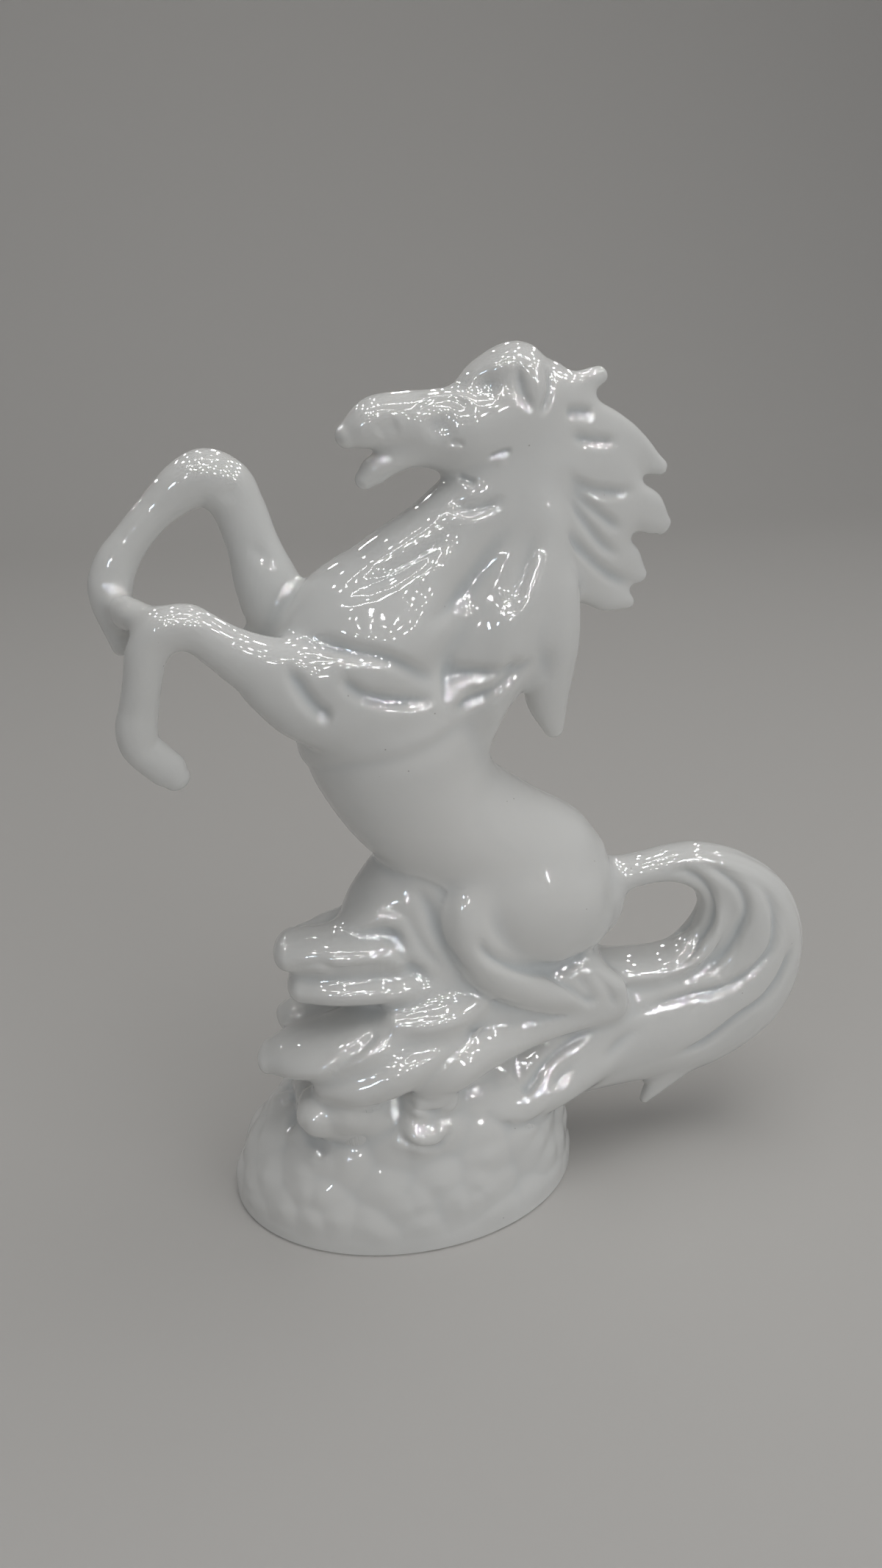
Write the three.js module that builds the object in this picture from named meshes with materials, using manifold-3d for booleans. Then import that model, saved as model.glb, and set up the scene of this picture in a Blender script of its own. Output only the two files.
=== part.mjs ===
// Rearing horse figurine in white glazed porcelain, millimetres, +Z up.
//
// The figure is cast in sections that are luted together with slip before the firing.
// Each section is modelled as it leaves its mould: muscle, rock or hair swept along a
// line of landmarks, then cut back to the section that it is stuck on. The horse looks
// along -X, its tail streams out along +X and its near side is -Y.

import * as THREE from 'three';
import { mergeVertices } from 'three/addons/utils/BufferGeometryUtils.js';
import Module from 'manifold-3d';

const wasm = await Module();
wasm.setup();

// Pedestal: an oval mound, hollow underneath
const FOOT_LENGTH = 130;
const FOOT_WIDTH = 94;
const MOUND_HEIGHT = 64;
const SHELL_WALL = 4.5;

// Rock between the mound and the belly, and the ledges that reach out of it
const CREST_HEIGHT = 72;
const CREST_GIRTH = 68;
const FOLD_GIRTH = 12;
const UPPER_LEDGE_LENGTH = 50;
const UPPER_LEDGE_THICKNESS = 14.8;
const LOWER_LEDGE_LENGTH = 52;
const LOWER_LEDGE_THICKNESS = 14.8;

// Body
const HAUNCH_RISE = 44;
const TRUNK_LENGTH = 126;
const TRUNK_GIRTH = 61;
const THIGH_LENGTH = 43;
const THIGH_GIRTH = 42;
const NECK_LENGTH = 103;
const NECK_GIRTH = 58;
const SHOULDER_LENGTH = 58;
const SHOULDER_GIRTH = 28;
const BLADE_LENGTH = 59;

// Head
const HEAD_LENGTH = 61;
const HEAD_DEPTH = 31;
const JAW_LENGTH = 28;
const JAW_DEPTH = 12;
const FORELOCK_LENGTH = 31;
const FORELOCK_GIRTH = 17;
const CHEEK_LOCK_LENGTH = 24;
const CHEEK_LOCK_GIRTH = 8;

// Legs
const NEAR_FORELEG_LENGTH = 109;
const FAR_FORELEG_LENGTH = 125;
const FORELEG_GIRTH = 22;
const GASKIN_LENGTH = 106;
const GASKIN_GIRTH = 20;
const HIND_CANNON_LENGTH = 90;
const HIND_CANNON_GIRTH = 14.4;

// Hair
const MANE_REACH = 50;
const MANE_LOCK_GIRTH = 21;
const CURL_LENGTH = 96;
const CURL_GIRTH = 33;
const HANGING_LOCK_LENGTH = 64;
const HANGING_LOCK_GIRTH = 18;
const TAIL_LENGTH = 194;
const TAIL_BREADTH = 60;
const TAIL_STRANDS = 8;
const STRAND_DEPTH = 1.3;
const SPUR_LENGTH = 34;
const SPUR_GIRTH = 15;

// Gap left at every luted seam
const SEAM = 0.32;

const GLAZE = { color: 0xdfe2e1, roughness: 0.12, metalness: 0 };

const point = (x, y, z) => new THREE.Vector3(x, y, z);
const from = (root, x, y, z) => root.clone().add(point(x, y, z));
const mirrored = (rows) => rows.map(([x, y, z, half, deep]) => [x, -y, z, half, deep]);
const endOf = (line) => line[line.length - 1].at;

// Sets a drawn line of landmarks on its root at its real size. A row holds x, y, z and
// the half widths in the plane of the horse and across it. The line comes out as long as
// length, and as broad as girth where it is broadest.
function posed(root, rows, length, girth) {
  const drawn = rows.map(([x, y, z]) => point(x, y, z));
  const steps = drawn.slice(1).map((p, i) => p.distanceTo(drawn[i]));
  const reach = length / steps.reduce((sum, step) => sum + step, 0);
  const swell = girth / (2 * Math.max(...rows.map((row) => row[3])));
  return rows.map((row, i) => ({
    at: drawn[i].clone().sub(drawn[0]).multiplyScalar(reach).add(root),
    half: row[3] * swell,
    deep: row[4] * swell,
  }));
}

// Skins a line with oval rings and rounds off both of its ends. Strands are ridges of
// hair that run along it and turn by twist, and grow pushes the whole skin outwards.
function skin(line, shape = {}, grow = 0) {
  const { sides = 12, steps = 2, caps = 2, strands = 0, depth = 0, twist = 0, blunt = 1 } = shape;
  const spine = new THREE.CatmullRomCurve3(line.map((station) => station.at));
  const widths = new THREE.CatmullRomCurve3(line.map(({ half, deep }) => point(half, deep, 0)));
  const count = steps * (line.length - 1);
  const positions = [];
  const place = (p) => positions.push(p.x, p.y, p.z);
  for (let i = -caps; i <= count + caps; i += 1) {
    const t = THREE.MathUtils.clamp(i / count, 0, 1);
    const beyond = i < 0 ? i : Math.max(0, i - count);
    const turn = (Math.abs(beyond) / (caps + 1)) * (Math.PI / 2);
    const width = widths.getPoint(t);
    const along = spine.getTangent(t);
    const across = point(0, 1, 0).addScaledVector(along, -along.y).normalize();
    const up = across.clone().cross(along);
    const nose = Math.min(width.x, width.y) * blunt + grow;
    const fade = depth * Math.sin(Math.PI * THREE.MathUtils.clamp(t, 0.06, 0.94));
    const centre = spine.getPoint(t);
    centre.addScaledVector(along, Math.sign(beyond) * nose * Math.sin(turn));
    for (let k = 0; k < sides; k += 1) {
      const angle = (k / sides) * Math.PI * 2;
      const out = grow + fade * Math.cos(strands * angle + twist * t);
      const p = centre.clone();
      p.addScaledVector(up, (width.x + out) * Math.cos(turn) * Math.cos(angle));
      p.addScaledVector(across, (width.y + out) * Math.cos(turn) * Math.sin(angle));
      place(p);
    }
  }
  for (const t of [0, 1]) {
    const width = widths.getPoint(t);
    const nose = Math.min(width.x, width.y) * blunt + grow;
    place(spine.getPoint(t).addScaledVector(spine.getTangent(t), (2 * t - 1) * nose));
  }
  const index = [];
  const last = (count + 2 * caps) * sides;
  const heel = last + sides;
  for (let k = 0; k < sides; k += 1) {
    const next = (k + 1) % sides;
    for (let ring = 0; ring < last; ring += sides) {
      const above = ring + sides;
      index.push(ring + k, above + k, ring + next);
      index.push(ring + next, above + k, above + next);
    }
    index.push(heel, k, next);
    index.push(heel + 1, last + next, last + k);
  }
  const geometry = new THREE.BufferGeometry();
  geometry.setAttribute('position', new THREE.Float32BufferAttribute(positions, 3));
  geometry.setIndex(index);
  return geometry;
}

// Makes a closed geometry into a solid whose faces point out
function solid(geometry) {
  const merged = mergeVertices(geometry, 1e-4);
  const vertProperties = new Float32Array(merged.attributes.position.array);
  const triVerts = new Uint32Array(merged.index.array);
  const made = new wasm.Manifold(new wasm.Mesh({ numProp: 3, vertProperties, triVerts }));
  if (made.volume() > 0) {
    return made;
  }
  triVerts.reverse();
  return new wasm.Manifold(new wasm.Mesh({ numProp: 3, vertProperties, triVerts }));
}

// A section joins its skinned lines, and can be asked for grown by a seam
function section(lines) {
  const swept = (grow) => lines.map(([line, shape]) => solid(skin(line, shape, grow)));
  return (grow = 0) => swept(grow).reduce((whole, next) => whole.add(next));
}

// Cuts a section back to the sections that it is luted to and keeps its main body
function lute(body, neighbours = []) {
  const cut = neighbours.reduce((left, neighbour) => left.subtract(neighbour(SEAM)), body);
  return cut.decompose().sort((a, b) => b.volume() - a.volume())[0];
}

// Pedestal, drawn as ovals up the mound: lean along X, rise, share of the foot's length
// and share of its width
const MOUND_OVALS = [
  [0, 0, 1, 1],
  [0, 0.13, 0.995, 0.99],
  [1, 0.3, 0.95, 0.945],
  [3, 0.47, 0.87, 0.88],
  [5, 0.63, 0.78, 0.8],
  [6, 0.78, 0.68, 0.7],
  [7, 0.9, 0.55, 0.58],
];
const MOUND_SHAPE = { sides: 32, steps: 1, caps: 1, blunt: 0.28 };
function moundLine(wall) {
  return MOUND_OVALS.map(([lean, rise, long, wide]) => ({
    at: point(lean, 0, rise * (MOUND_HEIGHT - wall)),
    half: (long * FOOT_LENGTH) / 2 - wall,
    deep: (wide * FOOT_WIDTH) / 2 - wall,
  }));
}
const onTable = (body) => body.trimByPlane([0, 0, 1], 0);
const moundForm = (grow = 0) => onTable(solid(skin(moundLine(0), MOUND_SHAPE, grow)));
const cavity = solid(skin(moundLine(SHELL_WALL), { ...MOUND_SHAPE, sides: 24 }));
const moundTop = point(7, 0, MOUND_HEIGHT);

// Crest of rock under the belly, with a fold of it down each side
const crestRoot = from(moundTop, 3, 0, -8);
const crestLine = posed(crestRoot, [
  [10, 0, 56, 34, 24],
  [11, 0, 70, 31, 22],
  [12, 0, 84, 25, 20],
  [8, 0, 98, 21, 19],
  [4, 0, 112, 17, 16],
  [0, 0, 126, 12, 13],
], CREST_HEIGHT, CREST_GIRTH);
const FOLD = [
  [-24, -6, 110, 5, 8],
  [-13, -11, 118, 6, 8],
  [-4, -14, 121, 6, 7],
  [2, -17, 110, 6, 6],
  [11, -18, 98, 6, 6],
  [20, -18, 90, 5, 5],
];
const foldLength = 0.92 * CREST_HEIGHT;
const crestForm = section([
  [crestLine, { sides: 18, steps: 1 }],
  [posed(from(crestRoot, -34, -6, 54), FOLD, foldLength, FOLD_GIRTH), { sides: 8, steps: 1 }],
  [posed(from(crestRoot, -27, 8, 52), mirrored(FOLD), foldLength, FOLD_GIRTH), { sides: 8, steps: 1 }],
]);

// Ledges: flat tongues of rock, each drawn from its tip to its root
const UPPER_TIP = [-50, -7, 50.5];
const UPPER_TONGUES = [
  [[-40, -7, 107, 7, 11], [-26, -11, 108, 7.4, 13], [-8, -13, 107, 7.2, 12], [8, -10, 104, 6.5, 10]],
  [[-36, -8, 95, 7, 12], [-22, -12, 95.5, 7.4, 14], [-4, -14, 94.5, 7, 13], [11, -10, 92, 6.5, 10]],
  [[-33, 6, 101, 7, 10], [-16, 11, 102, 7.4, 12], [8, 12, 101, 6.5, 10]],
];
const LOWER_TIP = [-56, -8, 11];
const LOWER_TONGUES = [
  [[-46, -8, 67, 6.5, 15], [-34, -14, 70.5, 7.4, 17], [-17, -17, 76, 7.4, 17], [2, -12, 80, 7, 14]],
  [[-32, -22, 60, 6.6, 11], [-18, -28, 65.5, 7.2, 11], [-2, -29, 72, 7, 10], [16, -24, 76, 6, 9]],
  [[-8, -22, 83, 6, 9], [7, -24, 84, 6.2, 9], [21, -20, 86, 5, 8]],
  [[-38, 6, 68, 6.5, 14], [-18, 14, 72, 7.4, 17], [6, 15, 77, 7, 14]],
];
function ledge(tip, tongues, length, thickness) {
  const [x, y, z] = tongues[0][0];
  const drawn = ([a, b]) => Math.hypot(b[0] - a[0], b[1] - a[1], b[2] - a[2]);
  const span = (rows) => rows.slice(1).reduce((sum, row, i) => sum + drawn([rows[i], row]), 0);
  const share = length / span(tongues[0]);
  return tongues.map((rows) => {
    const root = from(from(crestRoot, ...tip), rows[0][0] - x, rows[0][1] - y, rows[0][2] - z);
    return [posed(root, rows, span(rows) * share, thickness), { sides: 8 }];
  });
}
const upperForm = section(ledge(UPPER_TIP, UPPER_TONGUES, UPPER_LEDGE_LENGTH, UPPER_LEDGE_THICKNESS));
const lowerForm = section(ledge(LOWER_TIP, LOWER_TONGUES, LOWER_LEDGE_LENGTH, LOWER_LEDGE_THICKNESS));

// Trunk: buttock, loin, flank and barrel, with a thigh on each side
const buttock = from(moundTop, 59, 0, HAUNCH_RISE);
const trunkLine = posed(buttock, [
  [66, 0, 108, 17, 16],
  [58, 0, 114, 24, 22],
  [46, 0, 122.5, 28, 25],
  [30, 0, 134.5, 26.5, 24],
  [14, 0, 148.5, 25.5, 23.5],
  [4, 0, 163, 27.5, 24.5],
  [-3, 0, 182, 30.5, 26],
  [-9, 0, 204, 29, 23],
], TRUNK_LENGTH, TRUNK_GIRTH);
const THIGH = [
  [64, -11, 105, 15, 9],
  [53, -14, 112, 21, 13],
  [41, -15, 119, 21, 13.5],
  [28, -14, 127, 15, 11],
];
const trunkForm = section([
  [trunkLine, { sides: 20 }],
  [posed(from(buttock, -2, -11, -3), THIGH, THIGH_LENGTH, THIGH_GIRTH), { sides: 12 }],
  [posed(from(buttock, -2, 11, -3), mirrored(THIGH), THIGH_LENGTH, THIGH_GIRTH), { sides: 12 }],
]);

// Neck and chest, with the shoulder and the blade of both sides
const breast = from(endOf(trunkLine), -3, 0, -18);
const neckLine = posed(breast, [
  [-12, 0, 186, 22, 22],
  [-14, 0, 200, 29, 26],
  [-8, 0, 214, 27.5, 24.5],
  [3, 0, 228, 20.5, 19.5],
  [17, 0, 242.5, 15.5, 15],
  [30, 0, 258, 13, 13],
  [38, 0, 271, 12.5, 12],
], NECK_LENGTH, NECK_GIRTH);
const SHOULDER = [
  [12, -16, 196, 7, 9],
  [-2, -18, 194, 10, 9.5],
  [-18, -17, 193, 14, 11],
  [-32, -15, 198, 13, 11],
  [-43, -15, 206, 10, 9],
];
const BLADE = [
  [14, -9, 233, 6, 6],
  [4, -14, 223, 11, 10],
  [-8, -16.5, 213, 14, 12],
  [-22, -17, 205, 13, 11.5],
  [-34, -16, 205, 9.5, 9],
];
const neckForm = section([
  [neckLine, { sides: 18 }],
  [posed(from(breast, 24, -16, 10), SHOULDER, SHOULDER_LENGTH, SHOULDER_GIRTH), { steps: 1 }],
  [posed(from(breast, 24, 16, 10), mirrored(SHOULDER), SHOULDER_LENGTH, SHOULDER_GIRTH), { steps: 1 }],
  [posed(from(breast, 26, -9, 47), BLADE, BLADE_LENGTH, SHOULDER_GIRTH), { steps: 1 }],
  [posed(from(breast, 26, 9, 47), mirrored(BLADE), BLADE_LENGTH, SHOULDER_GIRTH), { steps: 1 }],
]);

// Head: cheek, face and muzzle, with the forelock rolled over the brow
const poll = endOf(neckLine);
const headLine = posed(from(poll, 8, 0, 13), [
  [46, 0, 284, 11, 10],
  [35, 0, 278.5, 15.5, 12.5],
  [23, 0, 274.5, 14.5, 12.5],
  [11.5, 0, 275.5, 11.5, 10],
  [1.5, 0, 277.3, 9, 8],
  [-6, 0, 277.4, 7.8, 7.5],
  [-12.5, 0, 276.2, 4.4, 5.6],
], HEAD_LENGTH, HEAD_DEPTH);
const forelock = posed(from(poll, 10, 0, 17), [
  [48, 0, 288, 7, 9],
  [38, -1, 291.5, 8.5, 10],
  [27, -1, 289, 6.5, 8],
  [19, -1, 284, 4, 5],
], FORELOCK_LENGTH, FORELOCK_GIRTH);
const cheekLock = posed(from(poll, 1, -8, 22), [
  [39, -8, 293, 4, 3.5],
  [39, -12, 283, 4, 3.5],
  [35, -13, 271, 2.5, 2.5],
], CHEEK_LOCK_LENGTH, CHEEK_LOCK_GIRTH);
const headForm = section([
  [headLine, { sides: 16 }],
  [forelock, { sides: 10 }],
  [cheekLock, { sides: 6 }],
]);

// Lower jaw, dropped open under the muzzle
const jawForm = section([[posed(from(poll, -20, 0, -3), [
  [18, 0, 268, 6, 8],
  [9, 0, 266.3, 5, 6.5],
  [1.5, 0, 264.6, 4.3, 5.5],
  [-5, 0, 262.5, 4, 5],
  [-9.5, 0, 261, 3, 4],
], JAW_LENGTH, JAW_DEPTH), { sides: 8, steps: 1 }]]);

// Forelegs: forearm, knee, cannon, fetlock and hoof
const nearForelegForm = section([[posed(from(breast, -10, -13, 16), [
  [-22, -13, 202, 12, 10.5],
  [-35, -14.5, 206, 12, 10],
  [-46, -15.5, 211, 10, 8.6],
  [-56, -16.5, 218.2, 7.1, 6.9],
  [-64.5, -17, 224.6, 6.9, 6.8],
  [-72.5, -17, 224.3, 7.2, 6.6],
  [-77.4, -16.5, 217, 6.2, 5.8],
  [-80.2, -15.8, 205.5, 5.6, 5.3],
  [-82.4, -14.7, 194.5, 6.2, 5.4],
  [-82, -14, 188.5, 6, 5.2],
  [-78.5, -14, 184, 6, 4.6],
  [-73, -14, 178, 4.8, 3.8],
], NEAR_FORELEG_LENGTH, 1.1 * FORELEG_GIRTH), { steps: 1 }]]);
const farForelegForm = section([[posed(from(breast, -12, 11, 22), [
  [-24, 11, 208, 11, 10],
  [-34, 12, 218, 11, 9.3],
  [-40.5, 12.8, 233.5, 9.4, 7.9],
  [-46.5, 14.3, 251, 7.3, 7],
  [-50.5, 15, 257.8, 7.8, 7.2],
  [-57, 15, 260.4, 7.5, 7],
  [-64.5, 15, 256.9, 7, 6.4],
  [-74.5, 14.6, 247.8, 6.2, 5.8],
  [-84, 14, 237.5, 6.7, 6.2],
  [-86.7, 12, 228, 6.6, 6],
  [-84.6, 5.5, 215.5, 3.8, 4],
], FAR_FORELEG_LENGTH, FORELEG_GIRTH), { steps: 1 }]]);

// Hind legs, folded under the haunch: gaskin down to the hock, cannon along the rock
const GASKIN = [
  [36, -12, 141, 8, 6],
  [24, -16, 130, 9.5, 8],
  [18.5, -19, 117, 10, 9.5],
  [26, -21, 100, 9.2, 9],
  [44, -20, 86, 7.6, 7.5],
  [62, -17, 77.5, 6.4, 6.2],
  [73, -15, 71, 5.2, 5.4],
];
const CANNON = [
  [74, -15, 71, 5.2, 5.4],
  [58, -18, 71.5, 5.4, 5.4],
  [37, -23, 71, 5.8, 5.8],
  [20, -29, 68, 6.6, 6.4],
  [8, -33, 63.5, 7, 6.6],
  [0, -36, 56, 6.4, 6.2],
  [-2.5, -38, 47.5, 7.2, 6.8],
];
function hindLeg(side) {
  const rows = (drawn) => (side < 0 ? drawn : mirrored(drawn));
  const stifle = from(buttock, -30, 12 * side, 33);
  const gaskin = posed(stifle, rows(GASKIN), GASKIN_LENGTH, GASKIN_GIRTH);
  const hock = from(endOf(gaskin), 1, 0, 0);
  const cannon = posed(hock, rows(CANNON), HIND_CANNON_LENGTH, HIND_CANNON_GIRTH);
  return section([
    [gaskin, { sides: 10 }],
    [cannon, { steps: 1 }],
  ]);
}
const nearHindForm = hindLeg(-1);
const farHindForm = hindLeg(1);

// Mane: five locks fanned out of a web behind the neck
const maneRoot = from(poll, 4, -4, 9);
const MANE_LOCKS = [
  [[42, -4, 280, 9, 7.5], [54, -3, 285.5, 8, 5], [62, -2, 288.5, 5, 3.5], [66, -1, 291.5, 2, 1.8]],
  [[42, -4, 272, 11, 7.5], [56, -3, 275, 10, 6], [69, -2, 270.5, 7.5, 4.8], [79, -1, 264, 4.6, 3.2], [85, -1, 262, 2, 1.8]],
  [[42, -5, 264, 11, 7.5], [56, -4, 261, 10.5, 6.4], [69, -3, 254, 9, 5.4], [80, -2, 247.5, 6.4, 4], [88, -1, 243, 2.4, 2]],
  [[41, -5, 256, 11, 7.5], [53, -4, 249, 10.5, 6.4], [64, -3, 240, 9, 5.4], [73, -2, 232, 6.6, 4], [80, -1, 226.5, 3, 2.4]],
  [[40, -5, 250, 10, 7.5], [50, -5, 240, 9.5, 6.4], [59, -4, 230, 8.5, 5.2], [67, -3, 223, 6, 3.8], [77, -2, 219.5, 2.4, 2]],
];
const MANE_WEB = [
  [54, -3, 284, 8, 3.4],
  [59, -3, 270, 13, 4],
  [62, -3, 255, 15, 4.4],
  [60, -3, 240, 13, 4.4],
  [59, -3, 226, 9, 3.6],
];
function maneLine(rows, share) {
  const [x, y, z, half] = rows[0];
  const root = from(maneRoot, x - 42, y + 4, z - 280);
  return [posed(root, rows, share * MANE_REACH, (half / 11) * MANE_LOCK_GIRTH), { sides: 8, steps: 1 }];
}
const LOCK_SHARES = [0.54, 0.93, 1.02, 0.98, 0.98];
const maneForm = section([
  ...MANE_LOCKS.map((rows, i) => maneLine(rows, LOCK_SHARES[i])),
  [posed(from(maneRoot, 12, 1, 4), MANE_WEB, 1.17 * MANE_REACH, 1.36 * MANE_LOCK_GIRTH), { sides: 8, steps: 1 }],
]);

// Mane curl: hair rolled round behind the neck, running out on the withers
const curlForm = section([[posed(from(poll, 2, -4, -11), [
  [40, -4, 260, 11, 9],
  [42, -6, 243, 12.5, 11],
  [37, -8, 226, 14.5, 13.5],
  [29, -9, 210, 16.5, 14],
  [23, -8, 194, 13, 13],
  [23, -5, 180, 8, 10],
  [26, -2, 169, 3.5, 6],
], CURL_LENGTH, CURL_GIRTH), { sides: 15, strands: 5, depth: 1, twist: 5 }]]);

// Hanging lock: a long lock that falls free behind the shoulder
const lockForm = section([[posed(from(poll, 6, -8, -30), [
  [44, -8, 241, 8.4, 7],
  [46.5, -11, 228, 9.2, 8],
  [48, -12, 213, 8.8, 7.5],
  [48.5, -10, 200, 7.4, 6.4],
  [50, -8, 188, 5.4, 4.8],
  [52, -6, 178, 2.4, 2.4],
], HANGING_LOCK_LENGTH, HANGING_LOCK_GIRTH), { sides: 10, steps: 1 }]]);

// Tail: lifted at the dock, swept round in a loop and spread over the pedestal
const dock = from(buttock, 6, 0, 9);
const tailLine = posed(dock, [
  [72, 0, 117, 7, 8],
  [86, 0, 117.6, 6.4, 7],
  [101, 0, 118.6, 7.2, 7.6],
  [116, 0, 113, 10.5, 9],
  [130, 0, 102, 15, 10.5],
  [138, 0, 85, 21, 12],
  [130, 0, 65, 28, 13],
  [108, -1, 54.5, 30, 14],
  [84, -2, 53, 26.5, 16],
  [62, -3, 50.5, 22, 20],
  [42, -4, 48, 16, 22],
], TAIL_LENGTH, TAIL_BREADTH);
const spur = posed(from(dock, 44, -5, -76), [
  [116, -5, 41, 6, 5],
  [113, -6, 31, 7, 5],
  [107, -6, 22, 5.4, 4],
  [102, -6, 14, 3, 2.4],
  [101, -6, 11, 1.6, 1.4],
], SPUR_LENGTH, SPUR_GIRTH);
const tailForm = section([
  [tailLine, { sides: 3 * TAIL_STRANDS, strands: TAIL_STRANDS, depth: STRAND_DEPTH, twist: 1.2 }],
  [spur, { sides: 8, steps: 1 }],
]);

// Seam between the barrel and the chest, square to the withers
const girthLine = point(-0.12, 0, 0.99).normalize();
const girthAt = girthLine.dot(breast) - 2;
const barrel = trunkForm().trimByPlane(girthLine.clone().negate().toArray(), SEAM / 2 - girthAt);
const chestForm = (grow = 0) => neckForm(grow).trimByPlane(girthLine.toArray(), girthAt + SEAM / 2 - grow);

// Sections in the order in which they are luted
const rock = [crestForm, lowerForm, upperForm, moundForm];
const sections = {
  pedestal: lute(onTable(moundForm().subtract(cavity))),
  crest: lute(crestForm(), [trunkForm, moundForm]),
  upper_ledge: lute(upperForm(), [crestForm, trunkForm]),
  lower_ledge: lute(lowerForm(), [crestForm, upperForm, moundForm]),
  trunk: lute(barrel),
  neck_and_chest: lute(chestForm(), [headForm]),
  head: lute(headForm()),
  lower_jaw: lute(jawForm(), [headForm, chestForm]),
  mane_curl: lute(curlForm(), [chestForm, trunkForm, headForm]),
  hanging_lock: lute(lockForm(), [curlForm, chestForm]),
  mane_fan: lute(maneForm(), [headForm, chestForm, curlForm, lockForm]),
  near_foreleg: lute(nearForelegForm(), [chestForm]),
  far_foreleg: lute(farForelegForm(), [chestForm, nearForelegForm]),
  near_hind_leg: lute(nearHindForm(), [trunkForm, ...rock]),
  far_hind_leg: lute(farHindForm(), [trunkForm, ...rock]),
  tail: lute(tailForm(), [trunkForm, ...rock, nearHindForm, farHindForm]),
};

const figurine = new THREE.Group();
for (const [name, cast] of Object.entries(sections)) {
  const { vertProperties, triVerts } = cast.getMesh();
  const geometry = new THREE.BufferGeometry();
  geometry.setAttribute('position', new THREE.Float32BufferAttribute(vertProperties, 3));
  geometry.setIndex(new THREE.Uint32BufferAttribute(triVerts, 1));
  const mesh = new THREE.Mesh(geometry, new THREE.MeshStandardMaterial(GLAZE));
  mesh.name = name;
  figurine.add(mesh);
}

// The origin lies on the table, under the middle of the figurine
const middle = new THREE.Box3().setFromObject(figurine).getCenter(point(0, 0, 0));
figurine.position.set(-middle.x, -middle.y, 0);

export default figurine;
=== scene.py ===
"""White glazed porcelain figure of a rearing horse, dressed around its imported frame.

The clay is laid up as lofts in millimetres, in a frame whose origin is the middle of the
figure's foot. The lofts are pressed into one skin, rubbed down, tooled with strokes and
then cut into the same sections as the frame holds, so that the glaze runs on over every
seam. The horse looks along -X and its near side is -Y.
"""

import logging
import math
from dataclasses import dataclass, field, replace
from enum import Enum
from typing import Callable, Iterable, Optional

import bpy
import numpy as np
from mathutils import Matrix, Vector
from mathutils.bvhtree import BVHTree


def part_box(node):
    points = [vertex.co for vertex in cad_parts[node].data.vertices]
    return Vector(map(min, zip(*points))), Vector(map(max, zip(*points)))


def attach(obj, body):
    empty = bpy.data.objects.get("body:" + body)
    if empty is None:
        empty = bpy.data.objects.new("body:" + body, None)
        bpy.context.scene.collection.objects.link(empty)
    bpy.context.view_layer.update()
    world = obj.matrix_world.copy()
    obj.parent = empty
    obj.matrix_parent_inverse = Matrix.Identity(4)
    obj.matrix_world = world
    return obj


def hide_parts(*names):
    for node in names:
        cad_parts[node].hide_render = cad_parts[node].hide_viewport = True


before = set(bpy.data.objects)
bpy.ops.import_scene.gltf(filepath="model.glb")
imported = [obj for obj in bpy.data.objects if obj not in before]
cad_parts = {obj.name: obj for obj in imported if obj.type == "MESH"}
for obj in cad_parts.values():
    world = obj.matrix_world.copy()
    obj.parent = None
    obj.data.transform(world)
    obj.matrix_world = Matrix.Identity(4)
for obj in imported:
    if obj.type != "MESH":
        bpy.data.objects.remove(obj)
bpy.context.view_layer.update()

Array = np.ndarray
Relief = Callable[[Array, Array, Array], Array]

LOG = logging.getLogger("figurine")
MM = 0.001
CLAY_GRAIN = 0.62
SKIN_STEP = 1.3 * CLAY_GRAIN
SKIN_SIDES = (24, 260)
SKIN_RINGS = (12, 360)
END_RINGS = 8
CENTRE_STEP = 2.0
CENTRES = (8, 90)
OUT_OF_REACH = 99.0
MIRROR_REACH = 14.0
GROOVE_REACH = 2.6
STEP_REACH = 5.0
BALLOTS = 8
SETTLINGS = 12
LEAST_ISLAND = 160
ON_BODY, ON_MOUND, AT_FOOT = range(3)
MIX_A, MIX_B, MIX_RESULT = 6, 7, 2
PART_SIZE = 20000
PHOTO_WIDTH = 1200
PHOTO_HEIGHT = 2133
AIM = (0.0, 0.0, 0.14)
SPOT_SIZE = 0.06
SPOT_POWER = 4.0


class Flank(Enum):
    """Where a stroke is worked: on the near side alone, or on both sides alike."""

    NEAR = "near"
    BOTH = "both"


class Tool(Enum):
    """The shape that a stroke leaves in the clay."""

    GROOVE = "groove"
    STEP = "step"


class Section(Enum):
    """The cast sections, named as the frame's nodes are."""

    PEDESTAL = "pedestal"
    CREST = "crest"
    UPPER_LEDGE = "upper_ledge"
    LOWER_LEDGE = "lower_ledge"
    TRUNK = "trunk"
    NECK = "neck_and_chest"
    HEAD = "head"
    JAW = "lower_jaw"
    CURL = "mane_curl"
    LOCK = "hanging_lock"
    FAN = "mane_fan"
    NEAR_FORELEG = "near_foreleg"
    FAR_FORELEG = "far_foreleg"
    NEAR_HIND_LEG = "near_hind_leg"
    FAR_HIND_LEG = "far_hind_leg"
    TAIL = "tail"


SECTIONS = tuple(Section)


def foot_centre() -> Array:
    """Middle of the figure's foot in the frame, in millimetres.

    Returns:
        The point that the clay's own frame has as its origin.
    """
    low, high = (np.array(corner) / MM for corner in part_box(Section.PEDESTAL.value))
    return np.array([(low[0] + high[0]) / 2, (low[1] + high[1]) / 2, low[2]])


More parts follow.
